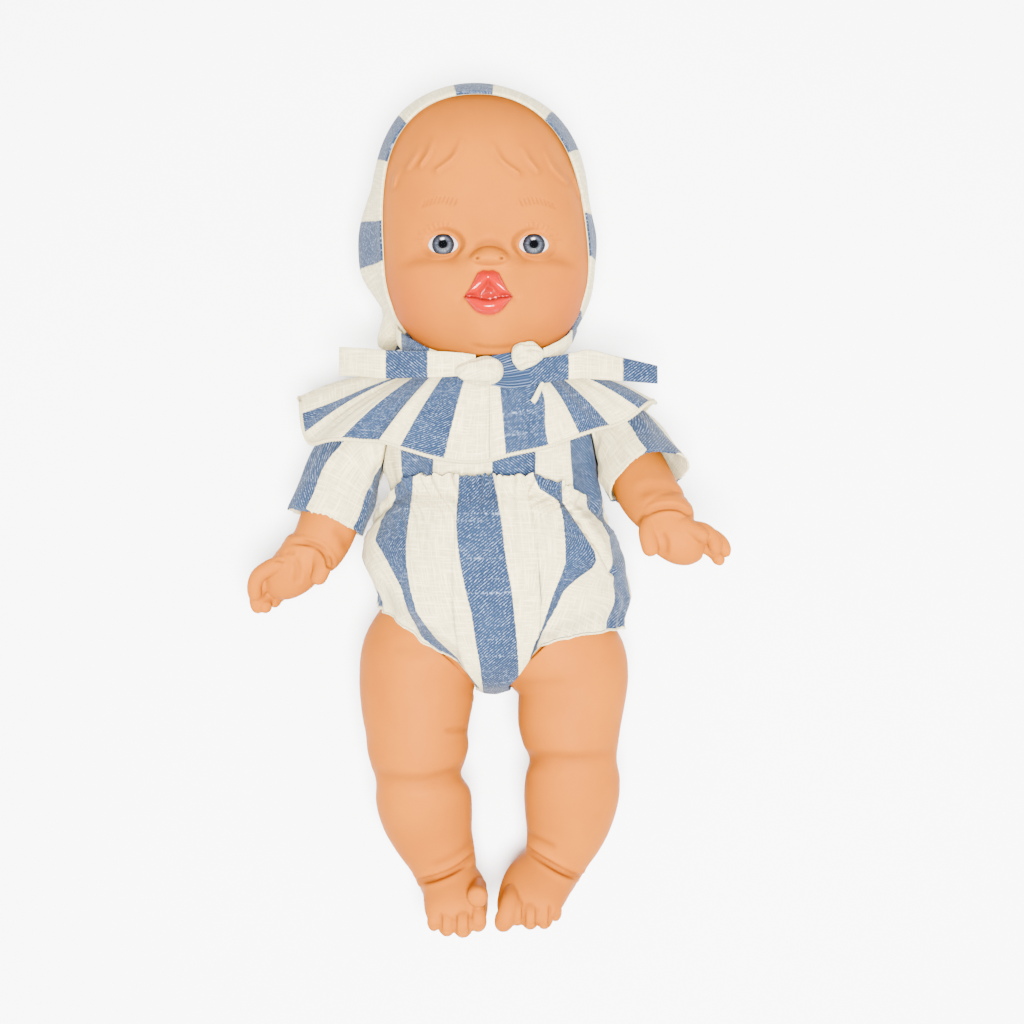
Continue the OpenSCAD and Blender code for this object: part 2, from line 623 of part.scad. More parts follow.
// Bloomers
bloomer_rows = [[24.5, waist_half_w - 0.5, -0.6, 76], [19, waist_half_w, -0.6, 75],
    [12, 45.5, -0.6, 76], [0, 50.5, -0.6, 79],
    [-14, 52, -0.6, 79.5], [-28, 51, -0.6, 77.5], [-42, 44, 1.5, 73.5],
    [-53, 31, 8, 67], [-59.5, 17, 16, 59], [-62.5, 9, 24, 51]];
bloomer_n = 42;
bloomer_m = 12;
bloomer_waves = 13;
function bloomer_rings(grow) =
    [for (i = [0:bloomer_m])
        let (s = i / bloomer_m, row = through(bloomer_rows, s), c = [0, row[0], (row[2] + row[3]) / 2],
        r = body_rings(bloomer_rows, bloomer_n, bloomer_m, grow)[i])
        [for (j = [0:bloomer_n - 1]) let (a = 360 * j / bloomer_n, up = ease(1 + sin(a)),
            w = bloomer_wave * up * bell(s - 0.12, 0.16) * sin(a * bloomer_waves))
            r[j] + unit(r[j] - c) * w]];
leg_trim = 2.4;
elastic_r = 0.9;
elastic_ring_r = 24.6;
module bloomers() {
    color(blue_cloth) difference() {
        tube_skin(reversed(concat(bloomer_rings(0), reversed(bloomer_rings(-cloth)))));
        for (s = [-1, 1]) at_hip(s) past(-leg_trim);
        under_floor();
    }
}
waist_y = [17, 21];
waist_depth_fit = 0.9;
waist_elastic_d = (bloomer_rows[1][3] - bloomer_rows[1][2]) / 2
    - cloth - bloomer_wave - waist_elastic_t - waist_depth_fit;
waist_mid_z = 37.1;
waist_section = [[waist_y[0], waist_elastic_t], [waist_y[1], waist_elastic_t],
    [waist_y[1], 0], [waist_y[0], 0]];
function waist_ring(y, out) = oval([0, y, waist_mid_z], [1, 0, 0], [0, 0, 1],
    waist_elastic_w + out, waist_elastic_d + out, bodice_n, 0.92);
module waist_elastic() {
    color(white_cloth) tube_skin([for (r = waist_section) waist_ring(r[0], r[1])]);
}
module leg_elastic(side) {
    color(white_cloth) at_hip(side) translate([-leg_trim / 2, 0, 0]) rotate([0, 90, 0])
        rotate_extrude($fn = 64) translate([elastic_ring_r, 0]) circle(r = elastic_r, $fn = 16);
}

// Sound module
wall = 1.6;
door_t = 1.8;
fit = 0.15;
module_z = 5.4;
module_x0 = -module_w / 2;
module_y0 = hatch_y - module_l / 2;
module_top = module_z + module_d;
stem_r = 2.5;
stem_gap = 0.15;
tower_r = 5.5;
tower_top = 54;
module module_housing() {
    color(plastic_colour) difference() {
        union() {
            translate([module_x0 + fit, module_y0 + fit, module_z])
                cube([module_w - 2 * fit, module_l - 2 * fit, module_d]);
            translate([0, button_y, module_top - bite])
                cylinder(r = tower_r, h = tower_top - module_top + bite, $fn = 48);
        }
        translate([module_x0 + wall, module_y0 + wall, module_z - 1])
            cube([module_w - 2 * wall, module_l - 2 * wall, module_d - wall + 1]);
        translate([0, button_y, 0]) cylinder(r = stem_r + stem_gap, h = big, $fn = 32);
        for (a = [0:60:300])
            translate([sound_ring_r * cos(a), speaker_y + sound_ring_r * sin(a), module_top - 2 * wall])
                cylinder(r = sound_hole_r, h = 3 * wall, $fn = 16);
    }
}
clamp_z = 12.6;
module clamp_frame() {
    color(plastic_colour) difference() {
        translate([module_x0 - frame_lip, module_y0 - frame_lip, clamp_z])
            cube([module_w + 2 * frame_lip, module_l + 2 * frame_lip, wall]);
        translate([module_x0, module_y0, 0]) cube([module_w, module_l, big]);
    }
}
door_screw_y = module_y0 + module_l - 6;
screw_r = 1.3;
screw_head_r = 2.2;
screw_head_h = 1;
module battery_door() {
    color(plastic_colour) difference() {
        translate([module_x0 + wall + fit, module_y0 + wall + fit, module_z])
            cube([module_w - 2 * wall - 2 * fit, module_l - 2 * wall - 2 * fit, door_t]);
        translate([0, door_screw_y, 0]) cylinder(r = screw_r + fit, h = big, $fn = 32);
        translate([0, door_screw_y, 0])
            cylinder(r = screw_head_r + fit, h = module_z + screw_head_h, $fn = 32);
    }
}
slot_w = 0.5;
module door_screw() {
    color(metal_colour) translate([0, door_screw_y, module_z]) difference() {
        union() {
            cylinder(r = screw_head_r, h = screw_head_h, $fn = 32);
            cylinder(r = screw_r, h = board_z - module_z - fit, $fn = 32);
        }
        for (a = [0, 90]) rotate([0, 0, a]) cube([2 * screw_r, slot_w, screw_head_h], center = true);
    }
}
contact_t = 0.4;
cells = [[-6.3, -9], [6.3, -9], [0, 2]];
cells_z = module_z + door_t + contact_t + 2 * fit;
module button_cells() {
    color(metal_colour) for (c = cells)
        translate([c.x, hatch_y + c.y, cells_z]) cylinder(r = cell_r, h = cell_h, $fn = 48);
}
module battery_contacts() {
    color(metal_colour) for (z = [cells_z - contact_t - fit / 2, cells_z + cell_h + fit / 2])
        translate([-cell_r - 2, hatch_y - 9 - 2, z]) cube([2 * cell_r + 4, 14, contact_t]);
}
board_t = 1.2;
board_z = cells_z + cell_h + contact_t + 2 * fit;
module circuit_board() {
    color([0.1, 0.4, 0.2]) translate([module_x0 + wall + fit, module_y0 + wall + fit, board_z])
        cube([module_w - 2 * wall - 2 * fit, module_l - 2 * wall - 2 * fit, board_t]);
}
board_top = board_z + board_t;
chip_r = 3;
chip_h = 1.4;
chip_dome_r = (chip_r * chip_r + chip_h * chip_h) / (2 * chip_h);
chip_pos = [-8, 9];
module sound_chip() {
    color(dark_colour) translate([chip_pos.x, hatch_y + chip_pos.y, board_top]) intersection() {
        translate([0, 0, chip_h - chip_dome_r]) sphere(r = chip_dome_r, $fn = 48);
        cylinder(r = chip_r, h = chip_h, $fn = 48);
    }
}
switch_w = 5;
switch_h = 1.6;
switch_cap_r = 1.5;
switch_cap_h = 0.6;
module tact_switch() {
    color(dark_colour) translate([0, button_y, board_top]) {
        translate([-switch_w / 2, -switch_w / 2, 0]) cube([switch_w, switch_w, switch_h]);
        cylinder(r = switch_cap_r, h = switch_h + switch_cap_h, $fn = 32);
    }
}
speaker_h = 4.6;
speaker_lip = 1.2;
speaker_z = module_top - wall - fit - speaker_h;
module speaker_frame() {
    color(dark_colour) translate([0, speaker_y, speaker_z]) difference() {
        cylinder(r = speaker_r, h = speaker_h, $fn = 64);
        translate([0, 0, speaker_lip])
            cylinder(r1 = speaker_r / 2, r2 = speaker_r - speaker_lip, h = speaker_h, $fn = 64);
    }
}
cone_t = 0.5;
cone_r = speaker_r / 2 - fit;
cone_h = speaker_h - speaker_lip - 4 * fit;
cone_slope = (speaker_r / 2 - speaker_lip) / speaker_h;
module speaker_cone() {
    color([0.25, 0.25, 0.27]) translate([0, speaker_y, speaker_z + speaker_lip + fit]) difference() {
        cylinder(r1 = cone_r, r2 = cone_r + cone_h * cone_slope, h = cone_h, $fn = 64);
        translate([0, 0, cone_t])
            cylinder(r1 = cone_r - cone_t, r2 = cone_r - cone_t + cone_h * cone_slope, h = cone_h, $fn = 64);
    }
}
magnet_r = 5;
magnet_h = 2;
module speaker_magnet() {
    color(metal_colour) translate([0, speaker_y, speaker_z - magnet_h])
        cylinder(r = magnet_r, h = magnet_h, $fn = 48);
}
wire_r = 0.45;
module speaker_wires() {
    color([0.7, 0.1, 0.1]) for (s = [-1, 1])
        translate([s * (magnet_r + 2), speaker_y - 3, board_top])
            cylinder(r = wire_r, h = speaker_z - board_top, $fn = 16);
}
button_top = 71;
cap_h = 6.6;
button_flange_r = 9;
button_flange_h = 1.6;
flange_top = button_top - cap_h;
module press_button() {
    color([0.95, 0.6, 0.55]) translate([0, button_y, 0]) {
        translate([0, 0, flange_top - bite]) cylinder(r = button_r, h = cap_h + bite, $fn = 48);
        translate([0, 0, flange_top - button_flange_h])
            cylinder(r = button_flange_r, h = button_flange_h, $fn = 48);
        translate([0, 0, switch_top + button_travel + fit])
            cylinder(r = stem_r, h = flange_top - switch_top - button_travel - fit - bite, $fn = 32);
    }
}
switch_top = board_top + switch_h + switch_cap_h;
spring_r = 4.2;
spring_wire = 0.45;
spring_turns = 5;
spring_steps = 10;
spring_seat = 0.02;
spring_low = tower_top + spring_wire + spring_seat;
spring_high = flange_top - button_flange_h - spring_wire - spring_seat;
function spring_dir(a) = [cos(a), sin(a), 0];
function spring_z(i) = mix(spring_low, spring_high, i / spring_turns / spring_steps);
module button_spring() {
    color(metal_colour) translate([0, button_y, 0])
        skin([for (i = [0:spring_turns * spring_steps]) let (a = 360 * i / spring_steps)
            oval(spring_dir(a) * spring_r + [0, 0, spring_z(i)], spring_dir(a), [0, 0, 1],
                spring_wire, spring_wire, 6)]);
}

head_shell();
eye_white(1);  // left_eye_white
eye_white(-1);  // right_eye_white
iris(1);  // left_iris
iris(-1);  // right_iris
eye_pupils();
cornea(1);  // left_cornea
cornea(-1);  // right_cornea
eye_retainers();
bonnet_hood();
bonnet_hem();
torso_shell();
blouse_bodice();
collar_ruffle();
collar_lobe(1, left_arm_roll);  // left_collar_lobe
collar_lobe(-1, right_arm_roll);  // right_collar_lobe
blouse_snaps();
neck_tape();
bloomers();
waist_elastic();
leg_elastic(1);  // left_leg_elastic
leg_elastic(-1);  // right_leg_elastic
tie(left_tie_rows);  // left_tie
tie(right_tie_rows);  // right_tie
tie_knot();
chin_knot();
arm(1, left_arm_roll);  // left_arm
arm(-1, right_arm_roll);  // right_arm
sleeve(1, left_arm_roll);  // left_sleeve
sleeve(-1, right_arm_roll);  // right_sleeve
leg(1, left_leg_rows, left_foot, 12);  // left_leg
leg(-1, right_leg_rows, right_foot, 0);  // right_leg
module_housing();
clamp_frame();
battery_door();
door_screw();
button_cells();
battery_contacts();
circuit_board();
sound_chip();
tact_switch();
speaker_frame();
speaker_cone();
speaker_magnet();
speaker_wires();
press_button();
button_spring();
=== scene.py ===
"""Looks of a vinyl baby doll in a striped bonnet, blouse and bloomers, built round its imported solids.

The doll lies on its back: +X is its left side, +Y runs to the crown and +Z up from the floor.
Sizes in the formulas are millimetres; a mesh is written in metres.
"""

import bpy
import numpy as np
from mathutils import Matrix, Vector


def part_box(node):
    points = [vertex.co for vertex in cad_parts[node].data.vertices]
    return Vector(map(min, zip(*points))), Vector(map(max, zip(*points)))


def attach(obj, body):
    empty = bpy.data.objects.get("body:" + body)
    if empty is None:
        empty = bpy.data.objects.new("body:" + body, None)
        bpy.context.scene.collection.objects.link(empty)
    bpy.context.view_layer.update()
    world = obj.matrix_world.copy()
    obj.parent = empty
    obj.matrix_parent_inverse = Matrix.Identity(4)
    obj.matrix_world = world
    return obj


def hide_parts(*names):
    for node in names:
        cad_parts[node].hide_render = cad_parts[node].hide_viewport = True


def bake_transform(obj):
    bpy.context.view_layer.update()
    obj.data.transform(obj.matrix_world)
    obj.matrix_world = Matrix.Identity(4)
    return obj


bl_info = {
    "name": "Striped baby doll",
    "version": (1, 0, 0),
    "blender": (4, 5, 0),
    "location": "View3D > Sidebar > Doll",
    "description": "Dresses the packed solids of a vinyl baby doll",
    "category": "Object",
}

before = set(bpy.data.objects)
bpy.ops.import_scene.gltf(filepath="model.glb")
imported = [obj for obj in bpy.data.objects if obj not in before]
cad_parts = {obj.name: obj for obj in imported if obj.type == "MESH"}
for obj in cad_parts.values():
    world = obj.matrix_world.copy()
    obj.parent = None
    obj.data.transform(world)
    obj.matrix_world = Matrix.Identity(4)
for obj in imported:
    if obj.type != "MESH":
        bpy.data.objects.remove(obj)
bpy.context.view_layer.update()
MM = 0.001
SIDE = {"left": 1, "right": -1}


# Small maths

def ease(t):
    """Smooth step from 0 to 1."""
    t = np.clip(t, 0, 1)
    return t * t * (3 - 2 * t)


def bell(d, s):
    """Bell of height 1 and spread s."""
    return np.exp(-d * d / (2 * s * s))


def spow(v, p):
    """Power that keeps the sign."""
    return np.sign(v) * np.abs(v) ** p


def sind(a):
    return np.sin(np.radians(a))


def cosd(a):
    return np.cos(np.radians(a))


def unit(v):
    return v / np.maximum(np.linalg.norm(v, axis=-1, keepdims=True), 1e-9)


def stack(*parts):
    return np.stack(np.broadcast_arrays(*parts), -1)


def through(rows, s):
    """Smooth curve through a list of rows, s running from 0 to 1 (Catmull-Rom)."""
    rows = np.asarray(rows, float)
    n = len(rows) - 1
    u = np.clip(s, 0, 1) * n
    i = np.minimum(u.astype(int), n - 1)
    t = (u - i)[..., None]
    a, b, c, d = rows[np.maximum(i - 1, 0)], rows[i], rows[i + 1], rows[np.minimum(i + 2, n)]
    return b + 0.5 * t * (c - a + t * (2 * a - 5 * b + 4 * c - d + t * (3 * (b - c) + d - a)))


# A full turn of a wave, and how many waves make up a crumple.
WAVE_TURN = 6.28
WAVES = 9


def crumple(u, v, size, seed):
    """Soft random folds in about -1..1: a sum of waves of about that size, in seeded directions."""
    rng = np.random.default_rng(seed)
    headings = rng.uniform(0, 2 * np.pi, WAVES)
    phases = rng.uniform(0, WAVE_TURN, WAVES)
    scales = rng.uniform(0.7, 1.6, WAVES)
    total = 0.0
    for heading, phase, scale in zip(headings, phases, scales):
        across = u * np.cos(heading) + v * np.sin(heading)
        total = total + np.sin(across * WAVE_TURN / (size * scale) + phase)
    return total / (WAVES / 2)


def along(points, axis=0):
    """Length run along a grid's rows or columns, in mm."""
    step = np.linalg.norm(np.diff(points, axis=axis), axis=-1)
    return np.concatenate([np.zeros_like(np.take(step, [0], axis)), np.cumsum(step, axis)], axis)


# Meshes

def surface(points, uv=None, wrap=False, caps=(False, False)):
    """One surface from points on a grid (rows, columns, 3).

    wrap joins the last column to the first; its uv then has one column more. caps close the first and last
    row with a fan round its middle. Gives points, faces and uv per face corner.
    """
    rows, cols = points.shape[:2]
    span = cols if wrap else cols - 1
    i, j = np.meshgrid(np.arange(rows - 1), np.arange(span), indexing="ij")
    k = (j + 1) % cols
    faces = np.stack([i * cols + j, i * cols + k, (i + 1) * cols + k, (i + 1) * cols + j], -1).reshape(-1, 4)
    if uv is None:
        uv = np.zeros((rows, span + 1, 2))
    corner = np.stack([uv[i, j], uv[i, j + 1], uv[i + 1, j + 1], uv[i + 1, j]], -2).reshape(-1, 4, 2)
    verts = points.reshape(-1, 3)
    face_list, uv_list = faces.tolist(), [corner.reshape(-1, 2)]
    for wanted, row in zip(caps, (0, rows - 1)):
        if not wanted:
            continue
        hub = len(verts)
        verts = np.vstack([verts, points[row].mean(0)])
        at, nxt = row * cols + np.arange(span), row * cols + (np.arange(span) + 1) % cols
        a, b = (nxt, at) if row == 0 else (at, nxt)
        face_list += np.stack([a, b, np.full(span, hub)], -1).tolist()
        here, there = uv[row, :span], uv[row, 1:span + 1]
        first, second = (there, here) if row == 0 else (here, there)
        uv_list.append(np.stack([first, second, (here + there) / 2], 1).reshape(-1, 2))
    return verts, face_list, np.vstack(uv_list)


def turned(part):
    """The same surface facing the other way."""
    verts, faces, uv = part
    flipped, rows, start = [], [], 0
    for face in faces:
        flipped.append(face[::-1])
        rows.append(np.arange(start + len(face) - 1, start - 1, -1))
        start += len(face)
    return verts, flipped, uv[np.concatenate(rows)]


def corners(verts, faces):
    """Four corner points of every face; a triangle repeats its last one."""
    quads = np.array([f if len(f) == 4 else f + f[-1:] for f in faces])
    return [verts[quads[:, k]] for k in range(4)]


def facing(part, middle=None):
    """Turns a surface so that its faces look away from its middle."""
    verts, faces, _ = part
    a, b, c, d = corners(verts, faces)
    normal = np.cross(c - a, d - b)
    centre = verts.mean(0) if middle is None else np.asarray(middle, float)
    return turned(part) if (normal * ((a + b + c + d) / 4 - centre)).sum() < 0 else part


def facing_tube(part, path):
    """Turns a tube's faces away from its path, by the sign of its volume."""
    verts, faces, _ = part
    a, b, c, d = (corner - path[0] for corner in corners(verts, faces))
    volume = (a * np.cross(b, c)).sum() + (a * np.cross(c, d)).sum()
    return turned(part) if volume < 0 else part


def mask(mesh, key, values):
    """Writes one number per point as an attribute that the materials read."""
    attribute = mesh.attributes.new(key, "FLOAT", "POINT")
    attribute.data.foreach_set("value", np.asarray(values, np.float32).ravel())


def piece(name, parts, material, masks=None):
    """A Blender object from surfaces in mm, with its UV map in mm and its masks as point attributes."""
    verts, faces, uvs, start = [], [], [], 0
    for v, f, uv in parts:
        verts.append(v)
        faces += [[k + start for k in face] for face in f] if start else f
        uvs.append(uv)
        start += len(v)
    mesh = bpy.data.meshes.new(name)
    mesh.from_pydata((np.vstack(verts) * MM).tolist(), [], faces)
    layer = mesh.uv_layers.new(name="Cloth")
    layer.data.foreach_set("uv", np.vstack(uvs).astype(np.float32).ravel())
    for key, values in (masks or {}).items():
        mask(mesh, key, values)
    mesh.shade_smooth()
    mesh.update()
    obj = bpy.data.objects.new(name, mesh)
    bpy.context.scene.collection.objects.link(obj)
    mesh.materials.append(material)
    return obj


def wall(obj, thick):
    """Gives an open surface a wall of that thickness, inwards."""
    mod = obj.modifiers.new("Wall", "SOLIDIFY")
    mod.thickness = thick * MM
    mod.offset = -1
    return obj


def swept(path, half_a, half_b, side, count=12, closed=False, bumps=None):
    """Tube carried along a path: an ellipse across it, half_a along side and half_b across both."""
    path = np.asarray(path, float)
    if closed:
        run = np.roll(path, -1, 0) - np.roll(path, 1, 0)
    else:
        run = np.gradient(path, axis=0)
    run = unit(run)
    across = unit(side - (side * run).sum(-1, keepdims=True) * run)
    other = np.cross(run, across)
    turn = np.linspace(0, 2 * np.pi, count, endpoint=False)
    size = 1.0 if bumps is None else bumps[:, None, None]
    half_a, half_b = (np.broadcast_to(h, len(path))[:, None, None] for h in (half_a, half_b))
    grid = path[:, None] + size * (across[:, None] * half_a * np.cos(turn)[None, :, None]
                                   + other[:, None] * half_b * np.sin(turn)[None, :, None])
    if closed:
        grid = np.concatenate([grid, grid[:1]])
        return facing_tube(surface(grid, wrap=True), path)
    return facing_tube(surface(grid, wrap=True, caps=(True, True)), path)


def fused(name, parts, material, voxel, rounds):
    """One skin over closed surfaces that run into each other: a voxel remesh, then smoothing."""
    obj = piece(name, parts, material)
    mod = obj.modifiers.new("Fuse", "REMESH")
    mod.mode = "VOXEL"
    mod.voxel_size = voxel * MM
    soft = obj.modifiers.new("Soften", "SMOOTH")
    soft.factor = 0.5
    soft.iterations = rounds
    graph = bpy.context.evaluated_depsgraph_get()
    mesh = bpy.data.meshes.new_from_object(obj.evaluated_get(graph))
    obj.modifiers.clear()
    old = obj.data
    obj.data = mesh
    mesh.name = name
    bpy.data.meshes.remove(old)
    if not mesh.materials:
        mesh.materials.append(material)
    mesh.shade_smooth()
    return obj


def points_of(obj):
    """Points in mm and normals of a mesh, as arrays."""
    mesh = obj.data
    co = np.empty(len(mesh.vertices) * 3, np.float32)
    mesh.vertices.foreach_get("co", co)
    normal = np.empty(len(mesh.vertices) * 3, np.float32)
    mesh.vertex_normals.foreach_get("vector", normal)
    return co.reshape(-1, 3).astype(float) / MM, normal.reshape(-1, 3).astype(float)


def press(obj, amount):
    """Moves every point along its normal by amount, in mm."""
    points, normals = points_of(obj)
    moved = (points + normals * amount[:, None]) * MM
    obj.data.vertices.foreach_set("co", moved.astype(np.float32).ravel())
    obj.data.update()


def off_line(points, path):
    """Distance of each point from a smooth line through path, and the share of the line nearest to it."""
    path = through(path, np.linspace(0, 1, 4 * len(path)))
    a, b = path[:-1], path[1:]
    p = points[:, None, :path.shape[1]]
    run = (b - a)[None]
    t = np.clip(((p - a) * run).sum(-1) / np.maximum((run ** 2).sum(-1), 1e-9), 0, 1)
    gap = np.linalg.norm(p - (a + t[..., None] * run), axis=-1)
    near = gap.argmin(1)
    row = np.arange(len(points))
    return gap[row, near], (near + t[row, near]) / len(a)


def fold_skin(obj, folds):
    """Presses folds into a limb along lines seen from above, and masks their bottoms for painted shade.

    A fold is its path, width, depth and swelling: a groove with a swelling on both sides, which fades in
    at the path's first point.
    """
    points, normals = points_of(obj)
    amount, shade = np.zeros(len(points)), np.zeros(len(points))
    for path, width, depth, swell in folds:
        d, share = off_line(points, path)
        here = ease(share * 3) * ease(normals[:, 2] * 2.5)
        amount += here * (swell * bell(d - 2.6 * width, width) - depth * bell(d, width))
        shade += here * 0.24 * depth * bell(d, 0.9 * width)
    press(obj, amount)
    mask(obj.data, "shaded_crease", np.clip(shade, 0, 0.5))


# Materials

def linear(colour):
    """sRGB hex to linear RGBA."""
    v = np.array([int(colour[i:i + 2], 16) for i in (1, 3, 5)]) / 255
    v = np.where(v <= 0.04045, v / 12.92, ((v + 0.055) / 1.055) ** 2.4)
    return (*v.tolist(), 1.0)


def add(tree, kind, links, out=0, **settings):
    """Adds a shader node and gives one of its sockets; links holds each input's value or a socket."""
    node = tree.nodes.new("ShaderNode" + kind)
    for key, value in settings.items():
        setattr(node, key, value)
    for key, value in links.items():
        if isinstance(value, bpy.types.NodeSocket):
            tree.links.new(value, node.inputs[key])
        else:
            node.inputs[key].default_value = value
    return node.outputs[out] if node.outputs else node


def start_material(name):
    """A new material with an empty node tree."""
    material = bpy.data.materials.new(name)
    material.use_nodes = True
    material.node_tree.nodes.clear()
    return material, material.node_tree


def finish_material(tree, links):
    """Principled shader with those inputs, wired to the output."""
    shader = add(tree, "BsdfPrincipled", links)
    add(tree, "OutputMaterial", {"Surface": shader})


MADE = {}


def made(finish):
    """The material of that finish, made once for each run."""
    if finish not in MADE:
        raise RuntimeError("make the materials first: no finish named " + finish)
    return MADE[finish]


def vinyl_skin(colours):
    """Rotocast soft vinyl: satin, faintly translucent, with painted blush, glossy painted lips and painted
    shade in its creases.
    """
    material, tree = start_material("rotocast_skin_vinyl")
    place = add(tree, "TexCoord", {}, "Object")
    blotch = add(tree, "TexNoise", {"Vector": place, "Scale": 45.0, "Detail": 3.0})
    tone = add(tree, "MapRange", {0: blotch, 1: 0.3, 2: 0.72})
    skin = add(tree, "Mix", {0: tone, 6: colours.skin_shade, 7: colours.skin}, 2, data_type="RGBA")
    # Blush, lip and mouth paint, and painted shade in the creases and under the bonnet's rim, each laid on by
    # its mask.
    for key, colour in (("blush", colours.blush), ("shaded_crease", colours.shaded_crease), ("lips", colours.lips),
                        ("mouth", colours.mouth)):
        share = add(tree, "Attribute", {}, "Fac", attribute_name=key)
        skin = add(tree, "Mix", {0: share, 6: skin, 7: colour}, 2, data_type="RGBA")
    # Paint on the lips shines; the skin keeps the mould's fine grain, 0.35 mm across.
    lips = add(tree, "Attribute", {}, "Fac", attribute_name="lips")
    cloud = add(tree, "TexNoise", {"Vector": place, "Scale": 160.0, "Detail": 3.0})
    satin = add(tree, "MapRange", {0: cloud, 3: 0.46, 4: 0.58})
    rough = add(tree, "Mix", {0: lips, 2: satin, 3: 0.12})
    shine = add(tree, "Mix", {0: lips, 2: 0.015, 3: 0.16})
    grain = add(tree, "TexNoise", {"Vector": place, "Scale": 2800.0})
    bump = add(tree, "Bump", {"Height": grain, "Strength": 0.12, "Distance": 0.00008})
    finish_material(tree, {"Base Color": skin, "Roughness": rough, "Normal": bump, "IOR": 1.5,
                           "Subsurface Weight": 0.1, "Subsurface Scale": 0.002,
                           "Subsurface Radius": (1.0, 0.4, 0.2), "Specular IOR Level": shine})
    return material


# Repeat of the stripes and its blue share, in mm, and the twill's lean in degrees and rib in mm.
STRIPE, BLUE = 39.0, 17.0
TWILL_LEAN, RIB = 38.0, 0.9


def blue_twill(tree, place, colours):
    """Colour and ribs of the dyed stripe: a leaning twill with painted shade on one side of each rib, flecks
    of undyed yarn, paler where worn.
    """
    leaning = add(tree, "Mapping", {"Vector": place, "Rotation": (0, 0, np.radians(TWILL_LEAN))})
    across = add(tree, "SeparateXYZ", {0: leaning}, 1)
    shake = add(tree, "TexNoise", {"Vector": place, "Scale": 0.7, "Detail": 2.0})
    phase = add(tree, "Math", {0: across, 1: 2 * np.pi / RIB}, operation="MULTIPLY")
    phase = add(tree, "Math", {0: shake, 1: 3.0, 2: phase}, operation="MULTIPLY_ADD")
    rib = add(tree, "Math", {0: phase}, operation="SINE")
    dash = add(tree, "Mapping", {"Vector": leaning, "Scale": (0.8, 2.0, 1)})
    dash = add(tree, "TexNoise", {"Vector": dash, "Scale": 1.0, "Detail": 3.0, "Roughness": 0.7})
    pale = add(tree, "MapRange", {0: dash, 1: 0.47, 2: 0.62}, interpolation_type="SMOOTHSTEP")
    crest = add(tree, "MapRange", {0: rib, 1: 0.0, 2: 0.95}, interpolation_type="SMOOTHSTEP")
    pale = add(tree, "Math", {0: pale, 1: crest}, operation="MULTIPLY")
    # Rows of undyed slubs that cross the stripe here and there, broken into bits.
    slubs = []
    for scale, detail, low, high in (((0.02, 0.55, 1), 1.0, 0.62, 0.72), ((1.0, 0.3, 1), 2.0, 0.48, 0.6)):
        run = add(tree, "Mapping", {"Vector": place, "Scale": scale})
        run = add(tree, "TexNoise", {"Vector": run, "Scale": 1.0, "Detail": detail})
        slubs.append(add(tree, "MapRange", {0: run, 1: low, 2: high}))
    rows = add(tree, "Math", dict(enumerate(slubs)), operation="MULTIPLY")
    pale = add(tree, "Math", {0: pale, 1: rows}, operation="MAXIMUM")
    fleck = add(tree, "Math", {0: pale, 1: 0.75}, operation="MULTIPLY")
    # Painted shade and light across each rib: the shaded blue on one side turns to the lit blue on the other.
    rib_lit = add(tree, "MapRange", {0: rib, 1: -0.9, 2: 0.9})
    worn = add(tree, "TexNoise", {"Vector": place, "Scale": 0.05, "Detail": 3.0})
    worn = add(tree, "MapRange", {0: worn, 1: 0.3, 2: 0.75, 4: 0.4})
    blue = colours.twill_shade_blue
    for share, colour in ((rib_lit, colours.blue), (worn, colours.blue_pale), (fleck, colours.blue_fleck)):
        blue = add(tree, "Mix", {0: share, 6: blue, 7: colour}, 2, data_type="RGBA")
    return blue, rib


def stripe_share(tree, place):
    """1 in the blue stripe and 0 beside it; the edge wanders by half a thread."""
    u = add(tree, "SeparateXYZ", {0: place}, 0)
    wander = add(tree, "TexNoise", {"Vector": place, "Scale": 0.9})
    u = add(tree, "Math", {0: wander, 1: 0.9, 2: u}, operation="MULTIPLY_ADD")
    u = add(tree, "Math", {0: u, 1: 0.45}, operation="SUBTRACT")
    u = add(tree, "Math", {0: u, 1: STRIPE}, operation="FLOORED_MODULO")
    off = add(tree, "Math", {0: u, 1: BLUE / 2}, operation="SUBTRACT")
    off = add(tree, "Math", {0: off}, operation="ABSOLUTE")
    return add(tree, "MapRange", {0: off, 1: BLUE / 2 - 0.25, 2: BLUE / 2 + 0.25, 3: 1.0, 4: 0.0})


def yarn_cloth(name, colours, striped):
    """Yarn-dyed cotton and linen: matt, with a twill of dyed yarn in the blue and slubs in the off-white.

    UV u runs across the stripes and v along them, in mm.
    """
    material, tree = start_material(name)
    place = add(tree, "UVMap", {}, uv_map="Cloth")
    # Threads are 0.45 mm on the real cloth; they are drawn at about 0.9 mm so that they show.
    slubs = []
    for scale in ((1.5, 0.09, 1), (0.09, 1.5, 1)):
        run = add(tree, "Mapping", {"Vector": place, "Scale": scale})
        slubs.append(add(tree, "TexNoise", {"Vector": run, "Scale": 1.0, "Detail": 4.0, "Roughness": 0.6}))
    slub = add(tree, "Math", dict(enumerate(slubs)), operation="MAXIMUM")
    open_weave = add(tree, "MapRange", {0: slub, 1: 0.44, 2: 0.66}, interpolation_type="SMOOTHSTEP")
    cloth = add(tree, "Mix", {0: open_weave, 6: colours.linen_gap, 7: colours.linen}, 2, data_type="RGBA")
    height = slub
    if striped:
        blue, rib = blue_twill(tree, place, colours)
        dyed = stripe_share(tree, place)
        cloth = add(tree, "Mix", {0: dyed, 6: cloth, 7: blue}, 2, data_type="RGBA")
        ribbed = add(tree, "Math", {0: rib, 1: dyed}, operation="MULTIPLY")
        height = add(tree, "Math", {0: ribbed, 1: 0.25, 2: slub}, operation="MULTIPLY_ADD")
    bump = add(tree, "Bump", {"Height": height, "Strength": 0.6, "Distance": 0.0004})
    finish_material(tree, {"Base Color": cloth, "Roughness": 0.92, "Normal": bump, "Sheen Weight": 0.06,
                           "Sheen Roughness": 0.5, "Specular IOR Level": 0.15})
    return material


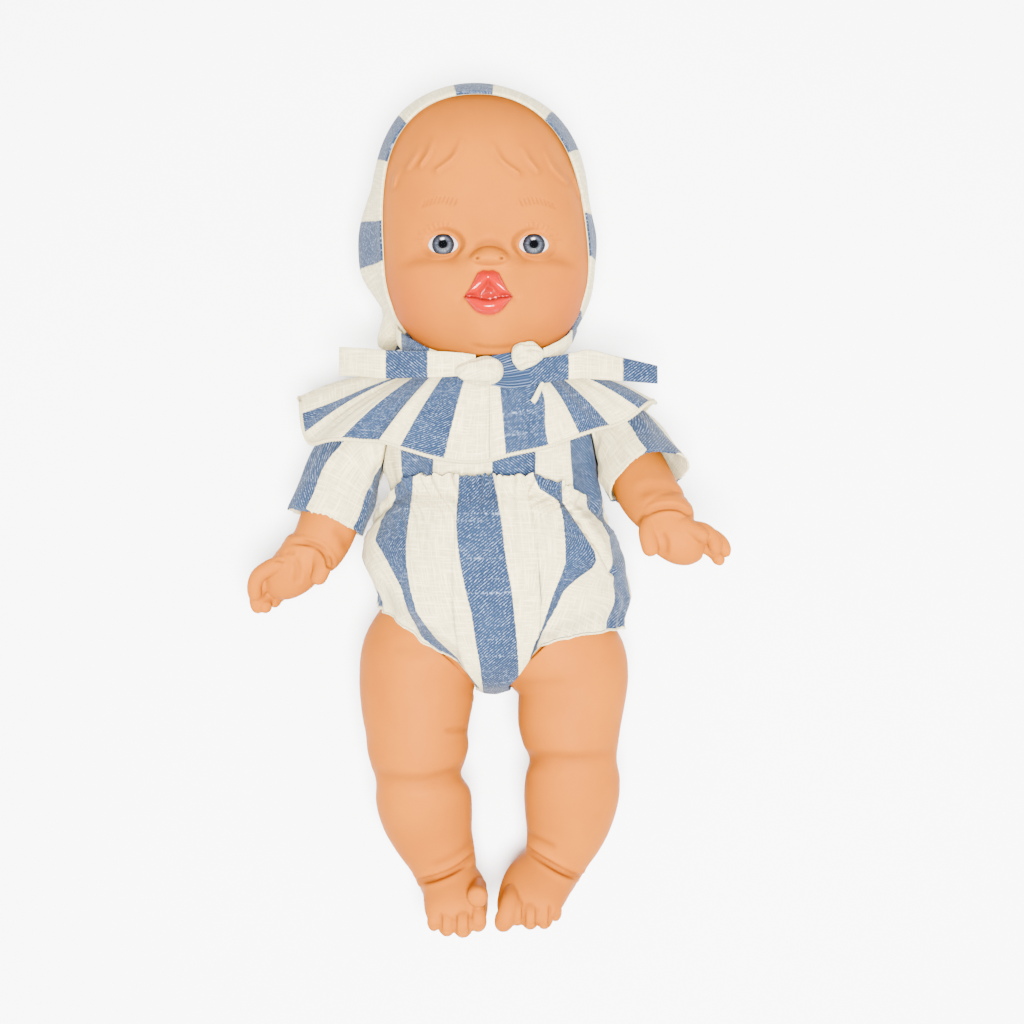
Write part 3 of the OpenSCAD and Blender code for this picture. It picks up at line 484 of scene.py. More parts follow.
def moulded(name, colour, grain_mm, rough, shade=0.8, **sockets):
    """Moulded or drawn part: one colour with soft tone changes, and a surface grain of that size in mm."""
    material, tree = start_material(name)
    place = add(tree, "TexCoord", {}, "Object")
    tone = add(tree, "TexNoise", {"Vector": place, "Scale": 120.0, "Detail": 4.0})
    tone = add(tree, "MapRange", {0: tone, 1: 0.3, 2: 0.7})
    dark = tuple(c * shade for c in colour[:3]) + (1.0,)
    base = add(tree, "Mix", {0: tone, 6: dark, 7: tuple(colour)}, 2, data_type="RGBA")
    grain = add(tree, "TexNoise", {"Vector": place, "Scale": 1 / (grain_mm * MM)})
    spread = add(tree, "MapRange", {0: grain, 3: rough - 0.08, 4: rough + 0.08})
    bump = add(tree, "Bump", {"Height": grain, "Strength": 0.3, "Distance": 0.00005})
    finish_material(tree, {"Base Color": base, "Roughness": spread, "Normal": bump, **sockets})
    return material


def iris_print(colours):
    """Printed iris under a clear dome: grey rays from the pupil to a dark rim, and a painted highlight above
    the pupil.

    UV u is the turn round the pupil and v the radius, both as shares of 1.
    """
    material, tree = start_material("printed_iris")
    place = add(tree, "UVMap", {}, uv_map="Cloth")
    turn = add(tree, "SeparateXYZ", {0: place}, 0)
    radius = add(tree, "SeparateXYZ", {0: place}, 1)
    rays = add(tree, "Mapping", {"Vector": place, "Scale": (26.0, 1.2, 1)})
    rays = add(tree, "TexNoise", {"Vector": rays, "Scale": 1.0, "Detail": 3.0, "Roughness": 0.65})
    ray = add(tree, "MapRange", {0: rays, 1: 0.36, 2: 0.66})
    body = add(tree, "Mix", {0: ray, 6: colours.iris_deep, 7: colours.iris}, 2, data_type="RGBA")
    # A pale ring at 0.6 of the radius, and a painted highlight at 0.27 of a turn and half the radius.
    shares = []
    for value, at, fade in ((radius, 0.6, {2: 0.16, 3: 0.75, 4: 0.0}),
                            (turn, 0.27, {1: 0.03, 2: 0.07, 3: 1.0, 4: 0.0}),
                            (radius, 0.5, {1: 0.06, 2: 0.14, 3: 1.0, 4: 0.0})):
        off = add(tree, "Math", {0: value, 1: at}, operation="SUBTRACT")
        off = add(tree, "Math", {0: off}, operation="ABSOLUTE")
        shares.append(add(tree, "MapRange", {0: off, **fade}))
    ring = add(tree, "Math", {0: shares[0], 1: ray}, operation="MULTIPLY")
    light = add(tree, "Math", dict(enumerate(shares[1:])), operation="MULTIPLY")
    rim = add(tree, "MapRange", {0: radius, 1: 0.74, 2: 0.95})
    middle = add(tree, "MapRange", {0: radius, 1: 0.34, 2: 0.46, 3: 1.0, 4: 0.0})
    for share, colour in ((ring, colours.iris_pale), (rim, colours.iris_rim), (middle, colours.iris_rim),
                          (light, colours.eye)):
        body = add(tree, "Mix", {0: share, 6: body, 7: colour}, 2, data_type="RGBA")
    bump = add(tree, "Bump", {"Height": rays, "Strength": 0.2, "Distance": 0.0001})
    finish_material(tree, {"Base Color": body, "Roughness": 0.5, "Normal": bump, "Specular IOR Level": 0.15})
    return material


def studio_floor(colour):
    """Seamless paper sweep: matt and near white, with a faint fibre."""
    material, tree = start_material("white_paper_floor")
    place = add(tree, "TexCoord", {}, "Object")
    fibre = add(tree, "TexNoise", {"Vector": place, "Scale": 900.0, "Detail": 4.0})
    fibre = add(tree, "MapRange", {0: fibre, 1: 0.3, 2: 0.7})
    dim = tuple(c * 0.985 for c in colour[:3]) + (1.0,)
    base = add(tree, "Mix", {0: fibre, 6: dim, 7: tuple(colour)}, 2, data_type="RGBA")
    finish_material(tree, {"Base Color": base, "Roughness": 0.95, "Specular IOR Level": 0.1})
    return material


# Sizes and colours a user would change

def colour_prop(name, description, value):
    return bpy.props.FloatVectorProperty(name=name, description=description, subtype="COLOR", size=4,
                                         min=0.0, max=1.0, default=linear(value))


def size_prop(name, description, mm):
    return bpy.props.FloatProperty(name=name, description=description, unit="LENGTH", subtype="DISTANCE",
                                   default=mm * MM, precision=4)


class DollColours(bpy.types.PropertyGroup):
    """Colours of the doll's materials."""

    skin: colour_prop("Skin", "Lit tone of the vinyl", "#985205")
    skin_shade: colour_prop("Skin shade", "Slightly deeper tone of the vinyl", "#8F4B04")
    blush: colour_prop("Blush", "Sprayed blush on the cheeks", "#8E380C")
    # Painted shade: a dark warm colour laid into the creases and folds of the skin and under the bonnet's
    # rim.
    shaded_crease: colour_prop("Crease", "Warm tone in deep creases", "#471C06")
    lips: colour_prop("Lips", "Glossy lip paint", "#8C0D05")
    # Paint inside the open mouth; along the slit between the lips it is painted shade.
    mouth: colour_prop("Mouth", "Paint inside the mouth", "#620A05")
    blue: colour_prop("Blue yarn", "Dyed yarn of the stripes", "#182A43")
    # Painted shade on the shaded side of each twill rib.
    twill_shade_blue: colour_prop("Deep blue yarn", "Shadowed side of the twill", "#0C182B")
    blue_pale: colour_prop("Worn blue", "Paler patches of the stripes", "#2A3D58")
    blue_fleck: colour_prop("Fleck", "Undyed thread that shows in the blue", "#76839B")
    linen: colour_prop("Linen", "Off-white yarn", "#D2C598")
    linen_gap: colour_prop("Linen gaps", "Darker gaps between the yarns", "#AC9F76")
    iris: colour_prop("Iris", "Grey-blue of the iris", "#242831")
    iris_deep: colour_prop("Iris shade", "Deeper rays of the iris", "#111318")
    iris_pale: colour_prop("Iris light", "Pale rays of the iris", "#50555F")
    iris_rim: colour_prop("Iris rim", "Dark rim and pupil edge", "#050506")
    eye: colour_prop("Eye white", "White of the eyes", "#B9ADAF")
    floor: colour_prop("Floor", "Paper sweep", "#FFFFFF")


class DollSizes(bpy.types.PropertyGroup):
    """Sizes of the doll's cloth and skin."""

    cloth: size_prop("Cloth", "Thickness of the cloth", 0.7)
    edge: size_prop("Overlock", "Thickness of the overlocked edge", 1.5)
    voxel: size_prop("Skin detail", "Finest form of the moulded limbs", 0.6)
    camera: size_prop("Camera height", "Height of the camera above the floor", 750.0)


# Head

# Middle of the head and the height of the flat at its neck.
HEAD_C = np.array([0.0, 111.8, 47.55])
HEAD_FLAT = 70.7
# Half sizes of the head from its middle, and the powers of its curves.
HALF_LEFT, HALF_RIGHT = 39.6, 42.2
UP, DOWN, FRONT, BACK = 63.6, 44.5, 44.0, 46.0
WIDE_P, CROWN_P, JAW_P, CHEEK_P = 2.3, 2.72, 2.65, 2.05
# Middle of an eye: distance from the face's middle, and y.
EYE = (17.0, 110.6)
# Half width of the eye opening, then its height above and below the middle.
EYE_HALF = (5.9, 4.3, 4.1)
EYE_RISE = 0.7
EYE_P = 1.9
# Radii about the eyeball's middle, from the ball out to the lids, and how far the lids reach from its axis.
EYEBALL_R, IRIS_R, PUPIL_R, CLEAR_R, RIM_R, COVER_R, LID_R = 7.3, 7.34, 7.38, 7.55, 7.75, 7.8, 8.1
LID_REACH = 6.1
# The head leans above this height, up to this slope, which it comes to over about this length.
LEAN_FROM, LEAN_SLOPE, LEAN_SOFT = 105.0, 0.088, 12.0
# Soft forms of the face: x, y from the head's centre, height, spread.
SOFT_FORMS = [[0, -6.5, 7.5, 5], [0, -21, 6, 8], [0, -34, 4.5, 8], [24, -20, 2, 12], [-24, -20, 2, 12],
              [0, 30, 2, 20], [17, -1, -2.5, 7], [-17, -1, -2.5, 7]]
# What the finer face starts from: the same without the nose and the lips' full height.
BASE_FORMS = [[0, -21, 4.6, 8.5], [0, -34, 4.2, 8], [24, -20, 2.4, 12], [-24, -20, 2.4, 12],
              [0, 30, 2, 20], [16, -2.5, -3.4, 8.5], [-16, -2.5, -3.4, 8.5], [0, 1.5, 1.6, 3.6]]


def head_radius(d, forms):
    """Distance of the head's skin along unit vectors d: a superellipsoid, plus bells for the forms in front.

    Below the middle its power runs from JAW_P in front to CHEEK_P at the sides.
    """
    x, y, z = np.moveaxis(d, -1, 0)
    c = np.where(z > 0, FRONT, BACK)
    half = np.where(x > 0, HALF_LEFT, HALF_RIGHT)
    w = ((np.abs(x) / half) ** WIDE_P + (np.abs(z) / c) ** WIDE_P) ** (1 / WIDE_P)
    aside = x * x / (x * x + z * z + 1e-9)
    n, b = np.where(y > 0, CROWN_P, JAW_P + (CHEEK_P - JAW_P) * aside), np.where(y > 0, UP, DOWN)
    r = (w ** n + (np.abs(y) / b) ** n) ** (-1 / n)
    extra = sum(h * bell(np.hypot(x * r - fx, y * r - fy), s) for fx, fy, h, s in forms)
    return r + np.where(z > 0, extra, 0) * ease(3 * z)


def leaned(p):
    """Shifts the crown to the doll's right, by slope t^2 / (t + soft), with t the height above the start."""
    t = np.maximum(p[..., 1] - LEAN_FROM, 0)
    p[..., 0] -= LEAN_SLOPE * t * t / (t + LEAN_SOFT)
    return p


def eye_share(x, y):
    """0 in the middle of the eye opening, 1 at its edge."""
    dx = (np.abs(x) - EYE[0]) / EYE_HALF[0]
    dy = y - EYE[1] - EYE_RISE
    dy = dy / np.where(dy > 0, EYE_HALF[1], EYE_HALF[2])
    return (np.abs(dx) ** EYE_P + np.abs(dy) ** EYE_P) ** (1 / EYE_P)


# Curves of the lips over the distance from the middle: top, inner edge, mouth line and bottom.
LIP_X = [0.0, 2.0, 4.0, 5.4, 7.0, 8.2, 9.1]
LIP_TOP = [100.6, 100.8, 99.8, 97.0, 93.6, 92.1, 91.0]
LIP_IN = [96.4, 94.0, 91.9, 91.4, 91.2, 91.1, 90.9]
LIP_LINE = [89.8, 90.0, 90.7, 91.0, 91.0, 91.0, 90.8]
LIP_LOW = [83.8, 84.0, 84.8, 85.8, 87.8, 89.4, 90.7]
# Hair tips on the brow: from the root to the point.
HAIR = [[(-33.8, 141.1), (-35.4, 138.4), (-36.2, 135.2)], [(-26.1, 147.4), (-27.8, 144), (-30.3, 140.8)],
        [(-20.9, 150.1), (-22.6, 145), (-25.4, 141.1)], [(-10.2, 148.7), (-13.2, 142.6), (-19.2, 138.4)],
        [(1.6, 147.4), (5.2, 141.3), (11.3, 137)], [(13, 146.7), (15.2, 142.4), (18.2, 139)],
        [(21.3, 147), (24.4, 140.8), (29.3, 136.6)], [(30, 143.2), (32.7, 138.6), (34.8, 133.5)]]


NOSE = (0.5, 105.3)


def nose_relief(x, y):
    """Nose: a squashed ball with wings and nostrils, and a crease at the brow; gives height and painted
    shade.
    """
    off, up = x - NOSE[0], y - NOSE[1]
    share = np.hypot(off / 7.5, up / np.where(up > 0, 4.6, 3.1))
    high = 4.6 * np.clip(1 - share ** 2, 0, 1) ** 0.95
    high += 2.3 * bell(np.hypot(np.abs(off) - 6.2, y - 104.4), 1.8)
    nostril = bell(np.hypot(np.abs(off) - 4.5, (y - 104.8) * 1.2), 0.48)
    shaded_crease = bell(y - (111.0 - 0.05 * off * off), 1.0) * ease((8.4 - np.abs(off)) / 4)
    return high - 1.5 * nostril - 0.8 * shaded_crease, 0.9 * nostril + 0.4 * shaded_crease


def lip_relief(x, y):
    """Lips: two rolls between four curves, and the small open mouth; gives height, the lip paint, and the
    mouth paint with painted shade along the slit.
    """
    ax = np.abs(x)
    top, inner, line, low = (np.interp(ax, LIP_X, c) for c in (LIP_TOP, LIP_IN, LIP_LINE, LIP_LOW))
    within = ease((9.3 - ax) / 0.5)
    up = np.clip((y - inner) / np.maximum(top - inner, 0.3), 0, 1)
    down = np.clip((line - y) / np.maximum(line - low, 0.3), 0, 1)
    high = 2.4 * np.sin(np.pi * up) ** 0.65 * within
    high += 2.8 * np.sin(np.pi * down) ** 0.65 * within
    high -= 0.35 * bell(x, 1.1) * ease((y - 97.7) / 2) * ease(100.8 - y)
    gap = ease((inner - y) / 1.3) * ease((y - line) / 0.5) * ease((4.4 - ax) / 2)
    high += gap * (1.4 * bell(np.hypot(x - 0.9, y - 92.5), 1.5) - 1.3)
    slit = bell(y - line, 0.38) * within
    high -= 1.3 * slit
    lips = ease((top + 0.25 - y) / 0.7) * ease((y - low + 0.25) / 0.7) * within
    # Mouth mask: paint inside the open mouth, and painted shade along the slit between the lips.
    return high, lips, np.maximum(gap * 0.5, slit * 0.8)


def hair_relief(x, y):
    """Hair tips on the brow: ridges that rise from nothing to a sharp point; gives height and shade."""
    flat = np.stack([x.ravel(), y.ravel()], -1)
    high, shade = np.zeros(len(flat)), np.zeros(len(flat))
    for root, bend, tip in HAIR:
        root, tip = np.array(root), np.array(tip)
        near = np.hypot(*(flat - bend).T) < 13
        share = np.clip((flat[near] - root) @ (tip - root) / ((tip - root) ** 2).sum(), 0, 1)
        d, _ = off_line(flat[near], [root, bend, tip])
        rise = 0.3 + 0.7 * ease(share * 1.7)
        high[near] += 1.7 * rise * bell(d, 0.95 - 0.45 * share)
        shade[near] += 0.16 * rise * bell(d - 1.7, 0.7)
    return high.reshape(x.shape), shade.reshape(x.shape)


def brow_cuts(x, y):
    """Brows: a row of short slanting cuts over each eye."""
    cuts = np.zeros_like(x)
    for k in range(9):
        bx, by = 12.4 + 1.5 * k, 126.2 + 1.2 * np.sin(np.pi * k / 8)
        lean = np.abs(x) - bx + 0.45 * (y - by)
        cuts += bell(lean, 0.36) * ease((1.5 - np.abs(y - by)) / 0.6)
    return cuts


def lash_ridges(x, y):
    """Lashes: a comb of fine ridges along the upper lid, 13 degrees apart."""
    turn = np.degrees(np.arctan2(y - EYE[1], np.abs(x) - EYE[0]))
    share = eye_share(x, y)
    comb = np.clip(sind(turn * 360 / 13.0), 0, 1) * ease((turn - 4) / 8) * ease((118 - turn) / 10)
    return comb * ease((share - 1.2) / 0.12) * ease((1.95 - share) / 0.2)


def face_relief(x, y):
    """Height in mm and masks of the moulded and painted face with its painted shade, from x and y in front of
    the head.
    """
    ax = np.abs(x)
    nose, nose_shade = nose_relief(x, y)
    mouth_high, lips, mouth = lip_relief(x, y)
    hair, hair_shade = hair_relief(x, y)
    cuts = brow_cuts(x, y)
    high = nose + mouth_high + hair - 0.45 * cuts + 0.5 * lash_ridges(x, y)
    # Philtrum, chin fold, folds under the eyes, corners of the mouth and the dip under the lip.
    high -= 0.5 * bell(x, 1.5) * bell(y - 101.8, 1.1)
    chin = bell(y - (72.8 + 0.018 * (x - 1.6) ** 2), 0.55) * ease((9.5 - np.abs(x - 1.6)) / 4)
    high -= 0.9 * chin
    fold = bell(y - (107.2 - 0.01 * (ax - 20) ** 2), 1.9) * ease((ax - 9) / 5) * ease((36 - ax) / 9)
    high -= 2.0 * fold
    high -= 0.8 * bell(np.hypot(ax - 10, y - 90.6), 1.1)
    high -= 0.9 * bell(np.hypot(ax / 1.6, y - 81.8), 1.8)
    # Painted shadow of the bonnet's rim on the top of the brow, darker towards the crown.
    under = ease((y - 148) / 28)
    # Painted shade in the crease colour: the nose's crease and nostrils, beside the hair tips, the chin fold,
    # the brow cuts, the folds under the eyes and the rim's shadow.
    deep = nose_shade + hair_shade + 0.3 * chin + 0.22 * cuts + 0.28 * fold + 0.3 * under
    deep = np.clip(deep, 0, 1) * (1 - lips)
    blush = 0.4 * bell(np.hypot(ax - 34, (y - 88) / 1.1), 10) * (1 - lips)
    return high, {"lips": lips, "mouth": mouth, "shaded_crease": deep, "blush": blush}


def head_grid():
    """Head skin on polar rings round Y, crowded at the face; gives points and masks."""
    rows, cols = 250, 350
    fine = np.linspace(0, 180, 2000)
    crowd = np.cumsum(1 + 3.0 * bell(fine - 98, 24))
    polar = np.interp(np.linspace(0, crowd[-1], rows + 2)[1:-1], crowd, fine)
    fine = np.linspace(-180, 180, 4000)
    crowd = np.cumsum(0.55 + 3.2 * bell(fine, 30))
    turn = np.interp(np.linspace(0, crowd[-1], cols + 1)[:-1], crowd, fine)
    polar, turn = np.meshgrid(polar, turn, indexing="ij")
    d = stack(sind(polar) * sind(turn), cosd(polar), sind(polar) * cosd(turn))
    p = leaned(HEAD_C + d * head_radius(d, BASE_FORMS)[..., None])
    x, y = p[..., 0], p[..., 1]
    front = ease((p[..., 2] - HEAD_C[2]) / 12)
    high, masks = face_relief(x, y)
    p[..., 2] += high * front
    # Lids lie on the eyeball; inside the opening the skin drops behind it.
    eye_z = eye_middle_z()
    share = eye_share(x, y)
    off = np.hypot(np.abs(x) - EYE[0], y - EYE[1])
    lid = eye_z + np.sqrt(LID_R ** 2 - np.minimum(off, LID_REACH) ** 2)
    near = (1 - ease((share - 0.98) / 0.55)) * front
    p[..., 2] += near * (lid - p[..., 2])
    cover = eye_z + np.sqrt(np.maximum(COVER_R ** 2 - off ** 2, 0))
    p[..., 2] = np.where((off < COVER_R) & (front > 0.5), np.maximum(p[..., 2], cover), p[..., 2])
    p[..., 2] -= 4.5 * ease((1.0 - share) / 0.12) * front
    p[..., 1] = np.maximum(p[..., 1], HEAD_FLAT)
    return p, {key: value * front for key, value in masks.items()}


def eye_middle_z():
    """Height of the eyeballs' middle above the floor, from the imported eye."""
    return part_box("left_eye_white")[0].z / MM


def lid_rim(side):
    """Rounded edge of the lids: a tube along the opening's curve, lying on the eyeball."""
    a = np.linspace(0, 360, 96, endpoint=False)
    x = EYE_HALF[0] * spow(cosd(a), 2 / EYE_P)
    y = np.where(sind(a) > 0, EYE_HALF[1], EYE_HALF[2]) * spow(sind(a), 2 / EYE_P) + EYE_RISE
    z = np.sqrt(RIM_R ** 2 - x * x - y * y)
    path = stack(side * (EYE[0] + x), EYE[1] + y, eye_middle_z() + z)
    out = unit(path - np.array([side * EYE[0], EYE[1], eye_middle_z()]))
    return swept(path, 0.36, 0.34, out, 10, closed=True)


class DOLL_OT_head(bpy.types.Operator):
    """Moulds the vinyl head with its face"""

    bl_idname = "doll.head"
    bl_label = "Head"

    def execute(self, context):
        points, masks = head_grid()
        skin = facing_tube(surface(points, wrap=True, caps=(True, True)), HEAD_C[None])
        rims = [lid_rim(side) for side in (-1, 1)]
        extra = len(skin[0]) + sum(len(r[0]) for r in rims) - masks["lips"].size
        filled = {key: np.append(value.ravel(), np.zeros(extra)) for key, value in masks.items()}
        head = piece("head_skin", [skin, *rims], made("skin"), filled)
        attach(head, "head")
        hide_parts("head_shell")
        return {"FINISHED"}


def dome(centre, radius, spread, rise=0.0, count=24, turns=72):
    """Cap of a sphere facing +Z: rings out to spread mm from a point rise above its axis.

    UV u is the turn and v the share of the spread.
    """
    share = np.linspace(0.02, 1, count)[:, None]
    turn = np.linspace(0, 2 * np.pi, turns, endpoint=False)[None]
    flat = spread * share
    x, y = flat * np.cos(turn), flat * np.sin(turn) + rise
    grid = centre + stack(x, y, np.sqrt(radius ** 2 - x * x - y * y))
    uv = stack(np.linspace(0, 1, turns + 1)[None], share)
    return surface(grid, uv, wrap=True, caps=(True, False))


def ball(centre, radius, low, count=40, turns=72):
    """Sphere from its +Z pole down to the polar angle low."""
    polar = np.linspace(1, low, count)[:, None]
    turn = np.linspace(0, 360, turns, endpoint=False)[None]
    grid = centre + radius * stack(sind(polar) * cosd(turn), sind(polar) * sind(turn), cosd(polar))
    return surface(grid, None, wrap=True, caps=(True, True))


class DOLL_OT_eyes(bpy.types.Operator):
    """Sets the eyes: white ball, printed iris, pupil and clear dome"""

    bl_idname = "doll.eyes"
    bl_label = "Eyes"

    def execute(self, context):
        pupils = []
        for word, side in SIDE.items():
            middle = np.array([side * EYE[0], EYE[1], eye_middle_z()])
            white = facing_tube(ball(middle, EYEBALL_R, 91), middle[None])
            iris = facing(dome(middle, IRIS_R, 4.2, EYE_RISE), middle)
            clear = facing(dome(middle, CLEAR_R, 4.9, EYE_RISE), middle)
            pupils.append(facing(dome(middle, PUPIL_R, 1.6, EYE_RISE), middle))
            for part, name, node, slot in ((white, "_eyeball", "_eye_white", "eye_white"),
                                           (iris, "_iris_disc", "_iris", "iris"),
                                           (clear, "_clear_dome", "_cornea", "cornea")):
                obj = piece(word + name, [part], made(slot))
                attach(obj, "head")
                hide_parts(word + node)
        both = piece("pupil_discs", pupils, made("pupil"))
        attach(both, "head")
        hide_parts("eye_pupils")
        return {"FINISHED"}


# Bonnet and ties

def bonnet_edge(alpha):
    """Polar angle of the bonnet's rim, from the back of the head; it draws in at the nape."""
    return 112 + 4 * bell(alpha - 92, 35) - 42 * ease((-0.45 - sind(alpha)) / 0.55)


def bonnet_at(psi, alpha, lift):
    """Bonnet's cloth over the head: the head's radius, a little ease, a loose bag on one side and folds."""
    d = stack(sind(psi) * cosd(alpha), sind(psi) * sind(alpha), -cosd(psi))
    free = ease((bonnet_edge(alpha) - psi) / 26)
    round_off = np.mod(alpha, 360) - 184
    loose = 8.0 * bell(psi - 84, 20) * bell(round_off, np.where(round_off > 0, 12, 26)) * free
    loose = loose + 1.2 * bell(psi - 84, 22) * bell(np.mod(alpha + 180, 360) - 166, 24) * free
    loose = loose + 11.5 * bell(round_off - 34.5, 5.5) * bell(psi - 82, 20) * free
    loose = loose + 0.8 * bell(alpha - 92, 22) * bell(psi - 92, 20)
    loose = loose - 0.8 * bell(alpha + 30, 12) * bell(psi - 90, 20)
    loose = loose + 2.4 * bell(alpha - 50, 18) * bell(psi - 88, 15) * free
    gather = bell(psi - 5, 30) * 0.9 * np.sin(np.radians(alpha) * 26 + 1.2 * np.sin(np.radians(alpha) * 5))
    folds = 0.9 * bell(psi - 80, 30) * (1 + sind(9 * alpha)) / 2 + 0.5 * crumple(alpha / 10, psi / 7, 3.0, 5)
    r = head_radius(d, SOFT_FORMS) + lift + loose + (0.5 + np.maximum(folds, -0.3)) * (0.25 + 0.75 * free)
    r = r + gather * ease(psi / 12)
    r = r + 0.6 * bell(alpha - 55, 16) * ease((psi - bonnet_edge(alpha) + 22) / 22)
    p = leaned(HEAD_C + d * r[..., None])
    p[..., 2] = np.maximum(p[..., 2], 1.0 + lift)
    p[..., 1] = np.maximum(p[..., 1], HEAD_FLAT + 0.3)
    return p


# Stripe edges along the rim, x and y, and their place across the cloth: on the doll's left, then its right.
RIM_EDGES = [([(2.5, 175), (21, 160), (32.5, 149), (38, 127), (40, 110.5), (37, 89), (32, 78)],
              [0, -22, -39, -61, -78, -100, -117]),
             ([(-13.5, 175), (-31.5, 160), (-41.5, 146.5), (-44, 124), (-43, 108), (-33, 82), (-22, 75)],
              [17, 39, 56, 78, 95, 117, 134])]


def rim_place(rim, run):
    """Place across the stripes along the rim: straight between its edges, 1 mm per mm beyond them."""
    marks, places = [], []
    for points, across in RIM_EDGES:
        near = np.linalg.norm(rim[:, None, :2] - np.array(points), axis=-1).argmin(0)
        marks, places = marks + list(run[near]), places + across
    order = np.argsort(marks)
    marks, places = np.array(marks)[order], np.array(places, float)[order]
    marks = np.concatenate([[run[0]], marks, [run[-1]]])
    ends = places[0] - (marks[1] - marks[0]), places[-1] + (marks[-1] - marks[-2])
    return np.interp(run, marks, np.concatenate([ends[:1], places, ends[1:]]))


class DOLL_OT_bonnet(bpy.types.Operator):
    """Sews the bonnet: a hood gathered at the back and its narrow hem"""

    bl_idname = "doll.bonnet"
    bl_label = "Bonnet"

    def execute(self, context):
        thick = context.scene.doll_sizes.cloth / MM
        cols = 288
        alpha = np.linspace(-90, 270, cols + 1)[None]
        share = np.linspace(0.03, 1, 70)[:, None]
        psi = share * bonnet_edge(alpha)
        grid = bonnet_at(psi, alpha, 0.4 + thick)
        uv = stack(rim_place(grid[-1], along(grid[-1]))[None], along(grid, 0))
        part = surface(grid[:, :-1], uv, wrap=True, caps=(True, False))
        hood = piece("bonnet_cloth", [facing(part, HEAD_C)], made("stripes"))
        wall(hood, thick)
        # The hem is rolled in, behind the edge.
        path = bonnet_at(bonnet_edge(alpha[0, :-1]) - 1.2, alpha[0, :-1], 0.1)
        out = unit(path - HEAD_C)
        hem = piece("bonnet_rolled_hem", [swept(path, 0.42, 0.42, out, 10, closed=True)], made("linen"))
        for obj, node in ((hood, "bonnet_hood"), (hem, "bonnet_hem")):
            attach(obj, "head")
            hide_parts(node)
        return {"FINISHED"}


# Tie tails from the knot outwards: x, y, z, half width, tilt.
TIES = {
    "right": [[-5, 66.8, 78.4, 4.2, 10], [-10.5, 67.2, 77.8, 4.4, 8], [-20.6, 67.3, 76.4, 4.9, 5],
              [-39.2, 67.6, 71.5, 5.4, 0], [-48.5, 68.6, 68, 5.5, -2], [-58, 69.4, 63.5, 5.6, 0]],
    "left": [[1, 65, 78, 5.4, 4], [8, 65, 77.6, 6.6, 2], [18, 64.6, 77, 5.0, 4], [32, 66.7, 75.4, 5.0, 4],
             [38.2, 67.4, 74, 5.6, 0], [50.4, 65.9, 70, 4.6, -4], [65, 64.1, 64.5, 3.6, -6]],
}
# Straps from the bonnet's corners to the knots.
STRAPS = {
    "right": [[-37, 85.5, 49.5, 3.4, 42], [-35.8, 79.6, 58.5, 3.6, 34], [-30, 74.4, 67, 3.8, 24],
              [-23, 70.4, 71.5, 3.6, 16], [-13, 67.4, 74.5, 3, 10]],
    "left": [[34.5, 85, 49.5, 3, 42], [31.6, 78.8, 58.5, 3, 34], [26.5, 74, 67, 3.2, 24],
             [21, 70.8, 72.5, 3.2, 16], [15, 68.8, 76, 3, 10]],
}
# Place across the stripes at a strap's upper end and a tail's loose end, and where a tail's stripes stop.
STRAP_START = {"right": 24.0, "left": 8.0}
TIE_START = {"right": 18.6, "left": 2.2}
TIE_STOP = {"right": 78.0, "left": 54.0}
TIE_SEED, STRAP_SEED = {"right": 12, "left": 11}, 13
TIE_COLS = 15
TIE_MID = slice(TIE_COLS // 2, TIE_COLS // 2 + 1)
# Knots: middle, half sizes, depth of the folds, and how much broader the end at the doll's left is.
KNOTS = {"tie_knot": ((-3.6, 64.4, 79.2), (9.2, 5.3, 4.4), 0.06, 0.3),
         "chin_knot": ((14.7, 70.3, 83.4), (6.1, 4.8, 4.0), 0.15, -0.28)}


def tie_grid(rows, seed, bunched):
    """Flat tie along its rows: a strip with a soft curl and creases, bunched at its start."""
    s = np.linspace(0, 1, 70)
    row = through(rows, s)[:, None]
    w = np.linspace(-1, 1, TIE_COLS)[None]
    tilt = row[..., 4]
    e = stack(0 * tilt, cosd(tilt), sind(tilt))
    n = stack(0 * tilt, -sind(tilt), cosd(tilt))
    curl = 0.5 * (1 - w ** 2) + 0.5 * crumple(s[:, None] * 60, w * 6, 14, seed)
    pinch = bunched * bell(s[:, None], 0.14) * np.sin(w * 9)
    return row[..., :3] + e * (w * row[..., 3])[..., None] + n * (0.7 + curl + pinch)[..., None]


def knot_grid(centre, half, deep, taper):
    """Knot of bunched cloth: an egg, broader at one end, with folds that twist along it."""
    polar = np.linspace(4, 176, 60)[:, None]
    turn = np.linspace(0, 360, 96, endpoint=False)[None]
    fold = 1 + deep * (sind(3 * turn + 2 * polar) + 0.5 * sind(8 * turn - 3 * polar))
    fold = (fold - 0.9 * deep * bell(polar - 96, 9) * (1 + sind(turn)) / 2) * (1 + taper * cosd(polar))
    across = sind(polar) * fold
    return np.array(centre) + stack(half[0] * cosd(polar), half[1] * across * cosd(turn),
                                    half[2] * across * sind(turn))


